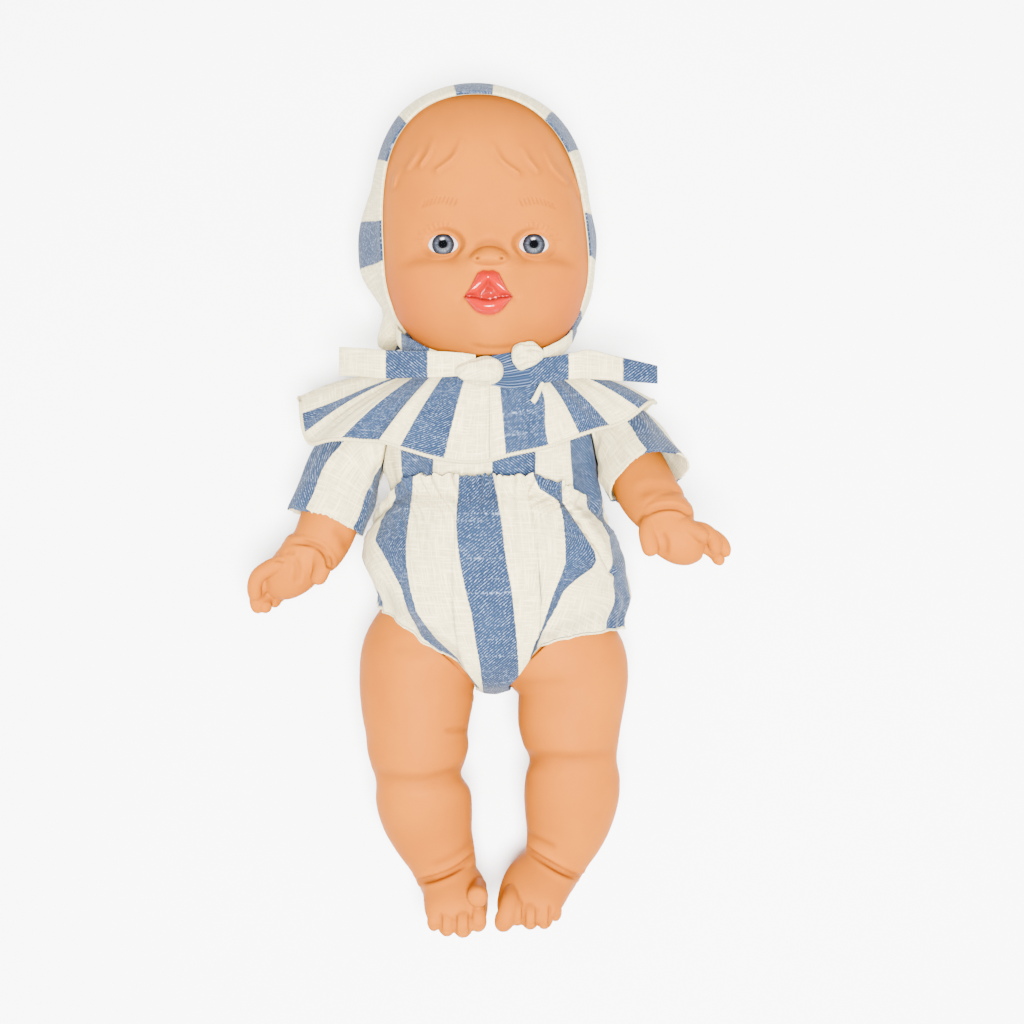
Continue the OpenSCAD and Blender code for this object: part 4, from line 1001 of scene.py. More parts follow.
class DOLL_OT_ties(bpy.types.Operator):
    """Ties the bonnet's two tails under the chin, with their knots"""

    bl_idname = "doll.ties"
    bl_label = "Bonnet ties"

    def execute(self, context):
        thick = context.scene.doll_sizes.cloth / MM
        for word, rows in TIES.items():
            grid = tie_grid(rows, TIE_SEED[word], 1.2)
            length = along(grid, 0)[:, TIE_MID]
            length = length[-1:] - length
            uv = stack(np.minimum(length + TIE_START[word], TIE_STOP[word]), along(grid, 1))
            strip = facing(surface(grid, uv), np.array(rows[2][:3]) - (0, 0, 40))
            grid = tie_grid(STRAPS[word], STRAP_SEED, 0.0)
            uv = stack(along(grid, 0)[:, TIE_MID] + STRAP_START[word], along(grid, 1))
            strap = facing(surface(grid, uv), np.array(STRAPS[word][1][:3]) - (0, 0, 40))
            tie = piece(word + "_tie_tail", [strip, strap], made("stripes"))
            wall(tie, thick)
            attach(tie, "torso")
            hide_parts(word + "_tie")
        for name, (centre, *form) in KNOTS.items():
            grid = knot_grid(centre, *form)
            uv = stack(along(np.concatenate([grid, grid[:, :1]], 1), 1), along(grid, 0)[:, :1])
            part = facing_tube(surface(grid, uv, wrap=True, caps=(True, True)), np.array([centre]))
            knot = piece(name + "_cloth", [part], made("linen"))
            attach(knot, "torso")
            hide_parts(name)
        return {"FINISHED"}


# Blouse

# Length of one overlock stitch, in mm.
STITCH = 1.3
# Stripe edges round the collar: degrees from the front, then the place across the stripes.
COLLAR_B = [-180, -152, -140, -124, -112, -100, -88, -80, -56.7, -41.4, -32, -16.5, 7, 25.6, 38, 52.5, 67.8,
            78, 92, 104, 118, 130, 146, 158, 180]
COLLAR_U = [-161, -122, -100, -83, -61, -22, 0, 17, 39, 56, 78, 95, 117, 134, 156, 173, 195, 212,
            234, 251, 273, 290, 312, 329, 351]
# Front hem of the collar, every 10 degrees from -90 to 90 from the front: x, then y.
COLLAR_HEM = [[-75, -73, -68.5, -60, -50, -41, -32, -21, -10, 0, 9, 18, 27, 36, 44.5, 52.5, 59, 63.2, 65],
              [53, 42, 38, 38, 38.2, 37.6, 34.6, 31.5, 30.3, 30.6, 32.6, 35, 37.4, 40.2, 43.2, 46.6, 50.2,
               53, 56]]


def collar_at(b, t, lift):
    """Ruffle collar from the neckline (t 0) to its waved hem (t 1), b degrees round from the front."""
    s, c = sind(b), cosd(b)
    wide = np.where(s > 0, 66.0, 76.0)
    neck = stack(25.5 * s, 66.6 + 2.6 * ease((c + 0.2) / 1.2), 45 + 25.5 * c)
    front = np.abs(b) <= 90
    place = through(np.array(COLLAR_HEM).T, (b + 90) / 180)
    raised = np.where(s > 0, 7 * bell(b - 65, 25), 3 * bell(b + 70, 20))
    hem = stack(np.where(front, place[..., 0], wide * spow(s, 0.9)),
                np.where(front, place[..., 1], 30 + 21 * np.abs(s) ** 4 + 4 * (1 - c)),
                42 + (38 - 7 * bell(b, 30)) * spow(c, 0.85) + raised)
    normal = unit(stack(0.2 * s, 0.2 + 0.6 * s ** 8, spow(c, 0.5)))
    wave = ease((c + 0.35) / 0.6) * 1.8 * t * sind(11 * b)
    pleat = 0.5 * ease((1 - t) * 2.5) * t * sind(43 * b + 30 * sind(5 * b))
    pleat = pleat + t * (2.2 * bell(b + 39, 5) + 1.2 * bell(b - 33, 6))
    out = lift + 2.8 * np.sin(np.pi * t) + wave + pleat + 0.35 * crumple(b / 3, t * 12, 6, 21) * t
    return neck + (hem - neck) * t[..., None] + normal * out[..., None]


def collar_turn(b, t):
    """Where to look up the stripes: towards the neck a white one tucks into a fold and a blue one narrows."""
    tucked = 8 * bell(b - 31, 6) * ease((1 - t) * 1.3)
    narrow = (2.5 + 7 * (1 - t)) * ease((-80 - b) / 3) * ease((b + 140) / 40)
    return b - tucked - narrow


class DOLL_OT_collar(bpy.types.Operator):
    """Gathers the ruffle collar, with its overlocked edge and the tape at the neck"""

    bl_idname = "doll.collar"
    bl_label = "Collar"

    def execute(self, context):
        sizes = context.scene.doll_sizes
        thick, edge = sizes.cloth / MM, sizes.edge / MM
        for word, first, last, nodes in (("left", 0, 180, ["collar_ruffle", "left_collar_lobe"]),
                                         ("right", -180, 0, ["right_collar_lobe"])):
            b = np.linspace(first, last, 260)[None]
            t = np.linspace(0, 1, 46)[:, None]
            grid = collar_at(b, t, 1.0)
            uv = stack(np.interp(collar_turn(b, t), COLLAR_B, COLLAR_U), 44 * t)
            collar = piece("collar_" + word, [facing(surface(grid, uv), (0, 50, 40))], made("stripes"))
            wall(collar, thick)
            b = np.linspace(first, last, 700)
            path = collar_at(b, np.ones_like(b) * 0.995, 1.0 - thick / 2)
            bumps = 1 + 0.16 * np.sin(along(path) * WAVE_TURN / STITCH)
            part = swept(path, edge / 2, edge / 2, np.array([0.0, 0, 1]), 8, bumps=bumps)
            rope = piece("collar_edge_" + word, [part], made("linen"))
            for obj in (collar, rope):
                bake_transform(obj)
            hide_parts(*nodes)
        low, high = (np.array(corner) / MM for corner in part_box("neck_tape"))
        s = np.linspace(-1, 1, 24)
        middle = np.array([18.7, 56.5, (low[2] + high[2]) / 2])
        path = middle + stack(2.1 * s, 3.5 * s + 0.4 * np.sin(3 * s), 0.4 * np.cos(2 * s))
        tape = piece("neck_tape_end", [swept(path, 1.1, 0.35, np.array([0.0, 1, 0.2]), 10)], made("linen"))
        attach(tape, "torso")
        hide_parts("neck_tape")
        return {"FINISHED"}


# Rings of the bodice from the waist up: y, half width, lowest and highest z.
BODICE = [[-4, 40.6, 3, 71.6], [6, 40.0, 3, 71.6], [16, 39.5, 3, 71.4], [22.5, 40.6, 3.8, 70.8],
          [29, 43.4, 5, 69.2], [42, 45.4, 8.4, 67.2], [53, 39.6, 12.2, 64.6], [61, 26, 18.6, 65.4],
          [64.5, 22.4, 22.6, 67.4]]
# Stripe edges round the bodice: length from the front, then the place across the stripes.
BODICE_X = [-58.4, -36.4, -21.5, 1.1, 18.4, 32.2, 47.2, 69.2]
BODICE_U = [-22, 0, 17, 39, 56, 78, 95, 117]


# Middle of the left shoulder's joint, and the tilt of its plane in degrees.
SHOULDER = (40.0, 41.0, 40.0)
SHOULDER_TILT = 12.0
# Power of the rings round the body: 1 is an ellipse, and less is squarer.
ROUND_P = 0.92


def shoulder_gap(p):
    """Distance of points past the shoulder's plane, outwards."""
    return ((np.abs(p[..., 0]) - SHOULDER[0]) * cosd(SHOULDER_TILT)
            + (p[..., 1] - SHOULDER[1]) * sind(SHOULDER_TILT))


def body_rings(row, bag, a):
    """Rings round the body, bag wider than their rows, and the way out of them; a is 90 in front."""
    middle = (row[..., 2] + row[..., 3]) / 2
    p = stack((row[..., 1] + bag) * spow(cosd(a), ROUND_P), row[..., 0],
              middle + (row[..., 3] - row[..., 2]) / 2 * spow(sind(a), ROUND_P))
    return p, unit(p - stack(0 * a, row[..., 0], middle))


def from_front(rings):
    """Length round each ring, counted from its middle column, which is the front."""
    run = along(rings, 1)
    middle = rings.shape[1] // 2
    return run - run[:, middle:middle + 1]


class DOLL_OT_bodice(bpy.types.Operator):
    """Sews the blouse's body, tucked into the bloomers"""

    bl_idname = "doll.bodice"
    bl_label = "Bodice"

    def execute(self, context):
        thick = context.scene.doll_sizes.cloth / MM
        row = through(BODICE, np.linspace(0, 1, 90))[:, None]
        a = np.linspace(-90, 270, 241)[None]
        grid, out = body_rings(row, 0.0, a)
        front = from_front(grid)
        folds = 0.45 * crumple(front / 7, row[..., 0] / 16, 2.2, 31)
        folds = folds + 0.7 * bell(row[..., 0] - 20, 12) * np.sin(front / 2.6 + 0.8 * np.sin(front / 7))
        grid = grid + out * folds[..., None]
        # The cloth bags out over the waist on the doll's left, and ends at the shoulders' planes.
        grid[..., 0] += 7 * bell(grid[..., 1] - 15, 8) * ease((grid[..., 0] - 24) / 15)
        past = np.maximum(shoulder_gap(grid) + 0.3, 0)
        grid[..., 0] -= np.sign(grid[..., 0]) * past / cosd(SHOULDER_TILT)
        grid[:, -1] = grid[:, 0]
        place = np.interp(-front, BODICE_X, BODICE_U)
        place = place + np.maximum(-front - BODICE_X[-1], 0) + np.minimum(-front - BODICE_X[0], 0)
        uv = stack(place, row[..., 0])
        part = facing(surface(grid[:, :-1], uv, wrap=True), (0, 30, 38))
        body = piece("bodice_cloth", [part], made("stripes"))
        wall(body, thick)
        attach(body, "torso")
        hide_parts("blouse_bodice")
        return {"FINISHED"}


# Roll of each arm about the shoulder's axis in degrees, and how far it is drawn to the body in mm.
ROLL = {"left": 50.0, "right": 6.0}
DRAWN = {"left": 3.4, "right": 2.4}
# Place across the stripes where a sleeve starts, and how far its outer side hangs open.
SLEEVE_START = {"left": 12.0, "right": 5.5}
SLEEVE_OPEN = {"left": 3.5, "right": 2.0}
# Rings down a sleeve about the shoulder: x, y, z, two half sizes and the heading below the X axis.
SLEEVE = [[0.3, 0, 0, 17, 18, 0], [8, -4, 0, 17.5, 18, 25], [14, -13, 0, 16.5, 17.5, 50],
          [17.5, -25, 0, 15.5, 16.5, 70], [19, -37, 0, 15, 15.5, 75]]


def at_shoulder(p, word):
    """Places points of an arm or sleeve, whose X is the shoulder's axis and whose -Y runs down the arm."""
    roll = -ROLL[word]
    x, y, z = np.moveaxis(p, -1, 0)
    y, z = y * cosd(roll) - z * sind(roll), y * sind(roll) + z * cosd(roll)
    c, s = cosd(SHOULDER_TILT), sind(SHOULDER_TILT)
    x, y = x * c - y * s, x * s + y * c
    return stack((x + SHOULDER[0]) * SIDE[word], y + SHOULDER[1], z + SHOULDER[2])


def drawn_in(rows, word):
    """Rows of an arm or sleeve, drawn to the body below the shoulder."""
    rows = np.array(rows, float)
    rows[:, 0] -= DRAWN[word] * ease(-rows[:, 1] / 24)
    return rows


def limb_rings(rows, count, turns):
    """Rings along a limb; each row is x, y, z, two half sizes and the heading below the X axis."""
    row = through(rows, np.linspace(0, 1, count))[:, None]
    a = np.linspace(0, 360, turns, endpoint=False)[None]
    h = row[..., 5]
    e1 = stack(-sind(h), -cosd(h), 0 * h)
    return (row[..., :3] + e1 * (row[..., 3] * cosd(a))[..., None]
            + np.array([0, 0, 1.0]) * (row[..., 4] * sind(a))[..., None])


class DOLL_OT_sleeves(bpy.types.Operator):
    """Sews the short sleeves, raw at the hem"""

    bl_idname = "doll.sleeves"
    bl_label = "Sleeves"

    def execute(self, context):
        thick = context.scene.doll_sizes.cloth / MM
        rings, turns = 64, 144
        share = np.linspace(0, 1, rings)[:, None]
        turn = np.linspace(0, 360, turns, endpoint=False)[None]
        for word in SIDE:
            rows = drawn_in(SLEEVE, word)
            local = limb_rings(rows, rings, turns)
            middle = through(rows, share[:, 0])[:, None, :3]
            fold = 0.6 * share * sind(5 * turn)
            fold = fold + 0.7 * ease(share * 4) * crumple(turn / 12, share * 9, 3.4, 41)
            fold = fold + 0.5 * (1 - share) * sind(16 * turn) * ease(share * 6)
            # The outer side hangs open, and the raw hem frays.
            fold = fold + SLEEVE_OPEN[word] * share ** 2 * bell(turn - 180, 42)
            local = local + unit(local - middle) * fold[..., None]
            if word == "left":
                local[..., 1] += 13 * share * np.maximum(-sind(turn), 0)
            else:
                local[..., 1] -= 4 * share * np.maximum(-cosd(turn), 0)
            local[..., 1] -= 0.5 * ease((share - 0.96) / 0.04) * crumple(turn / 3, share * 4, 1.2, 43)
            # The armhole's seam turns in against the bodice.
            turned_in = middle[:1] + 0.6 * (local[:1] - middle[:1]) - (0.4, 0, 0)
            grid = at_shoulder(np.concatenate([turned_in, local]), word)
            run = along(np.concatenate([grid, grid[:, :1]], 1), 1)
            run[0] = run[1]
            across = run + SLEEVE_START[word]
            if word == "left":
                across = np.maximum(across, BLUE + 0.5)
            part = surface(grid, stack(across, along(grid, 0)[:, :1]), wrap=True)
            sleeve = piece(word + "_sleeve_cloth", [facing(part)], made("stripes"))
            wall(sleeve, thick)
            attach(sleeve, word + "_arm")
            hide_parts(word + "_sleeve")
        return {"FINISHED"}


# Bloomers

# Rings from the waist down: y, half width, lowest and highest z.
BLOOMERS = [[24.5, 42.4, -0.6, 76], [19, 42.9, -0.6, 75], [12, 45.5, -0.6, 76], [0, 50.5, -0.6, 79],
            [-14, 52, -0.6, 79.5], [-28, 51, -0.6, 77.5], [-42, 44, 1.5, 73.5], [-51, 32, 8, 68],
            [-56.5, 20, 15, 62], [-59.3, 12, 22, 54]]
# Middle of the left hip's joint, its axis, the thigh's radius under the hem and that of the leg's elastic.
HIP = np.array([26.5, -43.0, 38.0])
HIP_OUT = np.array([cosd(46), -sind(46), 0.0])
THIGH_R, ELASTIC_R = 25.5, 23.9
# How far each leg's elastic is pushed out along that axis on the side nearer the waist.
ELASTIC_PUSH = {"left": 9, "right": 3}
# A column that runs further down than this share ends at the crotch, and not at a leg opening.
LEG_END = 0.97
# Degrees from the front past which the stripes follow the cloth's length, and the blend before that.
SIDE_FROM, SIDE_BLEND = 62, 14
# Stripe edges down the front, from the doll's right to its left: y down the edge, then its x.
DOWN_Y = [25, 17, 8, 0, -8, -18, -27, -37, -47, -57]
EDGES = [(DOWN_Y, [-37, -37.6, -42.5, -44, -39, -33.4, -31, -26, -14, -6.5]),
         (DOWN_Y, [-29.3, -29.9, -30.8, -31.7, -31.7, -30.2, -27.8, -20.8, -10.8, -4]),
         (DOWN_Y, [-11.4, -12, -12.6, -12, -11, -9, -6.7, -5.3, -3.8, -2.7]),
         (DOWN_Y, [1.6, 3.2, 4.8, 5.8, 6.8, 8.7, 9.8, 10.8, 11.6, 11.8]),
         ([25, 20, 15.5, 9.9, 0.9, -8.2, -12.7, -20.2, -29.2, -35.9, -39.7, -57],
          [17, 19.5, 26.9, 28.4, 29.1, 29.1, 27.6, 24.6, 21.6, 19.4, 17.5, 12.2]),
         ([25, 14.8, 9.1, 2.4, -3.6, -7.4, -10.4, -14.2, -18.7, -24.7, -29.2, -35.2, -57],
          [28, 28.2, 32.1, 36.6, 40.4, 41.5, 39.6, 33.6, 28.4, 25.7, 23.1, 19.9, 12.6]),
         ([25, 15, 8, 2, -6, -30, -57], [36, 38, 43.5, 46, 47.5, 49.2, 50]),
         ([25, 15, 8, 2, -6, -30, -57], [46, 48, 53, 55, 56.5, 58.2, 59])]
EDGE_U = [-39, -22, 0, 17, 39, 56, 78, 95]
# Hem of the leg openings: distance from the middle, then y, on the doll's left and right.
HEM_LEFT = [[10.4, 11, 12, 16, 18.5, 27.4, 38, 47.6, 54, 62],
            [-64, -54.5, -52, -45.5, -42, -38, -34.8, -32.4, -31.6, -31]]
HEM_RIGHT = [[5.4, 6, 8.1, 15.7, 24.1, 31.4, 41.4, 52], [-64, -57.6, -51, -45.5, -40.4, -34, -26.4, -19]]
# Extra width of the doll's left side, where the cloth bags over the thigh.
BAG_Y, BAG_W = [-62, -42, -34, -26, -14, 0, 12], [0, 6.5, 8.5, 6.0, 3.0, 0.8, 0]


def hem_line(x):
    """Height of the leg openings' hem over the distance from the doll's middle."""
    return np.where(x > 0, np.interp(x, *HEM_LEFT), np.interp(-x, *HEM_RIGHT))


def bloomer_at(s, a):
    """Bloomers as closed rings from the waist (s 0) to the crotch (s 1), and the way out of them."""
    row = through(BLOOMERS, s)
    bag = np.interp(row[..., 0], BAG_Y, BAG_W) * (cosd(a) > 0)
    return body_rings(row, bag, a)


def bloomers_end(a):
    """Share of the way down at which each column meets the hem of its leg opening."""
    fine = np.linspace(0, 1, 400)
    probe, _ = bloomer_at(np.repeat(fine[:, None], a.size, 1), np.repeat(a[None], fine.size, 0))
    inside = probe[..., 1] > hem_line(probe[..., 0])
    last = np.where(inside.all(0), fine.size - 1, np.argmin(inside, 0) - 1)
    return fine[np.maximum(last, 1)]


def stripe_place(x, y):
    """Place across the stripes: straight between the edges on either side, and 1.3 mm per mm beyond them."""
    edges = np.stack([np.interp(-y, -np.array(at, float), e) for at, e in EDGES], -1)
    u = EDGE_U[0] + (x - edges[..., 0]) * 1.3
    for k in range(len(EDGE_U) - 1):
        low, high = edges[..., k], edges[..., k + 1]
        share = (x - low) / np.maximum(high - low, 0.3)
        u = np.where(x >= low, EDGE_U[k] + share * (EDGE_U[k + 1] - EDGE_U[k]), u)
    return np.where(x >= edges[..., -1], EDGE_U[-1] + (x - edges[..., -1]) * 1.3, u)


def bloomers_stripes(plain, grid, front, a):
    """Place across the stripes: by their edges in front, and by the smooth cloth's length at the sides."""
    aside = np.abs(a[None] - 90)
    middle = a.size // 2
    # Columns are one degree apart.
    rim = np.where(a < 90, middle - SIDE_FROM, middle + SIDE_FROM)
    rim = np.broadcast_to(rim[None], front.shape)
    smooth = stripe_place(plain[..., 0], plain[..., 1])
    beyond = front - np.take_along_axis(front, rim, 1)
    smooth = np.where(aside > SIDE_FROM, np.take_along_axis(smooth, rim, 1) - beyond, smooth)
    u = stripe_place(grid[..., 0], grid[..., 1])
    return u + (smooth - u) * ease((aside - SIDE_FROM + SIDE_BLEND) / SIDE_BLEND)


def drawn_to_thighs(p, to_end, s_end, snug):
    """Draws the legs' ends in to the thighs, snug mm about the hips' axes, steeper on the doll's left."""
    side = np.where(p[..., :1] < 0, -1.0, 1.0) * (1, 0, 0) + (0, 1, 1)
    mid, axis = HIP * side, HIP_OUT * side
    flat = p - mid - axis * ((p - mid) * axis).sum(-1, keepdims=True)
    size = np.linalg.norm(flat, axis=-1)
    reach = np.where(p[..., 0] > 0, 9.0, 13.0)
    hold = ease((reach - to_end) / reach) * ease((0.998 - s_end) / 0.03)
    return p + flat / size[..., None] * ((snug - size) * hold)[..., None]


def bloomers_grid(thick):
    """Points and UV of the bloomers' cloth, and the path of the elastic in their waist."""
    a = np.linspace(-90, 270, 361)
    aside = np.abs(a[None] - 90)
    s_end = bloomers_end(a)
    at_leg = s_end < LEG_END
    # The waist band sits level in front and sinks at the sides and the back, sooner on the doll's left.
    sink = np.where(a < 90, 0.26 * np.clip((70 - a) / 76, 0, 1), 0.24 * ease((a - 130) / 50))
    t = np.linspace(0, 1, 96)[:, None]
    plain, out = bloomer_at(sink + (s_end - sink) * t, a[None] + 0 * t)
    front, drop = from_front(plain), along(plain, 0)
    to_end = drop[-1:] - drop
    # Gathers at the waist, fine ones on coarse ones, which calm down at the sides.
    ripple = np.sin(front / 0.95 + 1.4 * np.sin(front / 5.3))
    ripple = ripple + 0.6 * np.sin(front / 1.7 + 2 * np.sin(front / 9))
    ripple = ripple * (1 - 0.85 * ease((aside - 40) / 20) * ease((130 - aside) / 30))
    gather = ripple * (0.85 * bell(drop - 7, 5) + 0.9 * ease((6 - drop) / 6) + 0.4 * bell(drop - 15, 9))
    band = bell(drop - 6.0, 2.2)
    # Gathers and the hem's step at the legs, soft folds between, and one pleat on the doll's left.
    leg = np.sin(front / 2.1 + 1.2 * np.sin(front / 6.1))
    hem = 0.5 * ease((3.4 - to_end) / 0.5) * at_leg
    swell = 0.9 * crumple(front / 9, drop / 22, 2.6, 52) + 0.3 * crumple(front / 4, drop / 8, 2.4, 57)
    swell = swell * ease((drop - 8) / 14)
    pleat, _ = off_line(plain[..., :2].reshape(-1, 2), [(27.0, 18), (36.5, 5), (47.5, -12)])
    pleat = pleat.reshape(drop.shape)
    pleat = (1.0 * bell(pleat - 2.2, 1.4) - 1.7 * bell(pleat, 0.7)) * (sind(a) > 0.05)
    amount = gather - 1.6 * band + swell + 0.7 * leg * bell(to_end, 7) * at_leg + hem + pleat
    p = plain + out * amount[..., None]
    p[..., 1] += 1.1 * np.abs(ripple) * bell(drop, 3.0)
    p[..., 2] = np.maximum(p[..., 2], 0.8 + thick)
    grid = drawn_to_thighs(p, to_end, s_end, THIGH_R + 0.35 * leg + 0.4 * hem)
    seam = (grid[:, 0] + grid[:, -1]) / 2
    grid[:, 0] = grid[:, -1] = seam
    # Off-white piping along the hem.
    u = bloomers_stripes(plain, grid, front, a)
    u = np.where((to_end < 1.1) & at_leg, 28.0, u)
    return grid, stack(u, drop), p[6] - out[6] * 2.2


def leg_ring(word):
    """Path of a leg's elastic: a ring round the thigh, pushed out along the hip's axis near the waist."""
    turn = np.linspace(0, 360, 121)
    push = ELASTIC_PUSH[word] * np.clip(-cosd(turn), 0, 1) ** 2 - 7
    across = np.array([HIP_OUT[1], -HIP_OUT[0], 0])
    spoke = across * cosd(turn)[:, None] + np.array([0, 0, 1]) * sind(turn)[:, None]
    return (HIP + HIP_OUT * push[:, None] + ELASTIC_R * spoke) * (SIDE[word], 1, 1)


# Crotch, from inside the front to inside the back: x, y, z and half width.
GUSSET = [[1.0, -55.5, 57.5, 5.0], [1.2, -59.4, 52, 6.4], [1.2, -61.2, 44, 6.8], [1.2, -61.6, 37, 7.0],
          [1.2, -61, 29, 7.4], [1.0, -58.6, 22.5, 8.6], [0.6, -53, 17, 11.0]]


def gusset():
    """Crotch of the bloomers: a strip along its rows, whose long edges curl up between the thighs."""
    row = through(GUSSET, np.linspace(0, 1, 44))[:, None]
    w = np.linspace(-1, 1, 25)[None]
    fold = 1.6 * w * w + 0.3 * crumple(w * 7, row[..., 2], 6, 61)
    grid = row[..., :3] + stack(w * row[..., 3], fold, 0 * fold)
    left, right = EDGES[2][1][-1], EDGES[3][1][-1]
    uv = stack((grid[..., 0] - left) * BLUE / (right - left), along(grid, 0))
    return facing(surface(grid, uv), (0, -30, 38))


class DOLL_OT_bloomers(bpy.types.Operator):
    """Gathers the bloomers at the waist and at the leg openings, with their elastics"""

    bl_idname = "doll.bloomers"
    bl_label = "Bloomers"

    def execute(self, context):
        thick = context.scene.doll_sizes.cloth / MM
        grid, uv, waist = bloomers_grid(thick)
        part = facing(surface(grid[:, :-1], uv, wrap=True), (0, -15, 38))
        cloth = piece("bloomers_cloth", [part, gusset()], made("stripes"))
        wall(cloth, thick)
        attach(cloth, "torso")
        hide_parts("bloomers")
        belts = [("waist_elastic", "_band", waist, 1.1, 0.35)]
        belts += [(word + "_leg_elastic", "_cord", leg_ring(word), 0.38, 0.38) for word in SIDE]
        for node, ending, path, wide, deep in belts:
            bumps = 1 + 0.08 * np.sin(np.arange(len(path) - 1) * 1.3)
            ring = swept(path[:-1], wide, deep, np.array([0.0, 1.0, 0.01]), 10, closed=True, bumps=bumps)
            band = piece(node + ending, [ring], made("elastic"))
            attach(band, "torso")
            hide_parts(node)
        return {"FINISHED"}


# Limbs

# Rings down an arm about the shoulder: x, y, z, two half sizes and the heading below the X axis.
ARM = [[0.3, 0, 0, 14.5, 15.5, 0], [7.4, -4, 0, 14.3, 15.4, 25], [13.7, -13, 0, 12.4, 14.2, 50],
       [17.1, -25, 0, 12, 13, 70], [18.6, -37, 0, 11.9, 12.2, 75], [20.2, -46, 0, 11.4, 11.6, 72],
       [22.5, -52.5, 0, 10.2, 10.8, 66], [24, -56, 0.5, 6, 7, 62]]
# Palms: x, y, z, then half thickness and half width.
PALMS = {
    "right": [[-69.5, -1.6, 46.3, 8.5, 8.5], [-71.5, -4.4, 46.6, 10.4, 10.6], [-75, -9, 47, 9.8, 10.2],
              [-79.4, -13.6, 47.5, 9, 9.6], [-83.8, -17.4, 47.5, 7.4, 7.6], [-87.2, -20, 47, 4, 4]],
    "left": [[66.8, 15.5, 78.5, 8.5, 8.5], [66.6, 11.5, 80.5, 10.4, 10.4], [67.6, 5.6, 84, 9.8, 10.2],
             [70.8, 1.2, 86.3, 8.8, 9.4], [75.5, -1.2, 86.6, 7.4, 8], [80, -2, 86, 4, 4.5]],
}
# Thumb, then fingers from the index one: x, y, z and half thickness down each.
DIGITS = {
    "right": [[(-68, -4, 52, 4.2), (-65.6, -8.8, 55, 3.8), (-66, -12.6, 56.5, 3.4), (-67.4, -15.6, 56.6, 2.9),
               (-68, -17, 56.4, 1)],
              [(-78.8, -8.7, 52, 3.4), (-84.5, -10, 54.5, 3.4), (-90, -13.2, 55.3, 3.1),
               (-92.2, -17.6, 54, 2.9), (-92.2, -21.8, 52, 2.6), (-92, -23.4, 51, 0.9)],
              [(-81, -11.5, 48.5, 3.4), (-87, -15.5, 49, 3.4), (-91.4, -19.6, 48.5, 3.1),
               (-92.4, -24, 47.5, 2.8), (-91.7, -27.4, 46.5, 2.4), (-91.3, -28.8, 46, 0.8)],
              [(-80, -14.5, 44, 3.3), (-85.6, -19, 43.8, 3.3), (-88.8, -22.6, 44.6, 3),
               (-89, -25.4, 46.5, 2.7), (-88.4, -26.8, 48.5, 2.4), (-87.8, -27.2, 49.6, 0.8)],
              [(-78, -16.4, 40.4, 3), (-82.6, -20.6, 40, 3), (-85.4, -23.2, 41.4, 2.7),
               (-85.6, -24.8, 43.8, 2.4), (-85, -25.2, 45.4, 0.8)]],
    "left": [[(61.5, 8.5, 86, 4), (59.4, 4.2, 89.5, 3.6), (59.6, 0, 91.5, 3.3), (60.3, -3.6, 92.4, 2.8),
              (60.6, -5.2, 92.5, 1)],
             [(69, 6.6, 90, 3.3), (74, 5.4, 92, 3.1), (77.6, 3.6, 93.4, 2.8), (80, 1.8, 94, 2.4),
              (81, 1, 94, 0.8)],
             [(74, 5, 87.5, 3.3), (80, 4.4, 88.6, 3), (83.6, 1.4, 89.6, 2.8), (84.6, -2.4, 90.4, 2.5),
              (84.6, -4.6, 90.6, 0.9)],
             [(76, 2.6, 83.5, 3.2), (82.5, 2.6, 83.8, 3), (86.8, 0.2, 84.8, 2.7), (88.6, -3.2, 86, 2.4),
              (89.2, -5.6, 86.6, 0.9)],
             [(76.5, -0.5, 80.4, 3), (82.5, -2.2, 80, 2.9), (85.6, -4.8, 81.4, 2.6), (86.6, -7.2, 83.2, 2.3),
              (86.6, -8.6, 84.2, 0.8)]],
}
# Folds of the skin seen from above: path, width, depth and swelling.
ARM_FOLDS = {
    "right": [([(-80.2, -1.5), (-75.9, -0.7), (-71.1, -1), (-66.3, -2.9), (-63.4, -6.3), (-62.5, -9.6)],
               0.7, 1.3, 0.5),
              ([(-61.5, 5.3), (-57.7, 1.9), (-56.2, -1.9)], 1.4, 0.8, 0.3),
              ([(-80.2, -4.8), (-78.5, -4.4), (-76.9, -4.8)], 0.5, 0.5, 0.2),
              ([(-84.1, -8), (-82.4, -7.5), (-80.7, -8)], 0.5, 0.5, 0.2),
              ([(-76.8, -6.2), (-74.9, -10.5), (-75.4, -14.9)], 0.9, 0.8, 0.3)],
    "left": [([(56.8, 9.1), (61, 11.7), (65.9, 12.9), (70.9, 12.5), (74.3, 10.6)], 0.7, 1.3, 0.5),
             ([(54.5, 17.5), (61, 19.7), (68.6, 20.1)], 1.5, 0.8, 0.3),
             ([(63.5, 4), (65.4, 0.6), (65.6, -3.4)], 0.9, 0.8, 0.3)],
}


def digit(rows, count=26, turns=20):
    """Finger or toe: a round tube along rows of x, y, z and half thickness, closed at both ends."""
    row = through(rows, np.linspace(0, 1, count))
    return swept(row[:, :3], row[:, 3], row[:, 3], np.array([0.05, 0.1, 1.0]), turns)


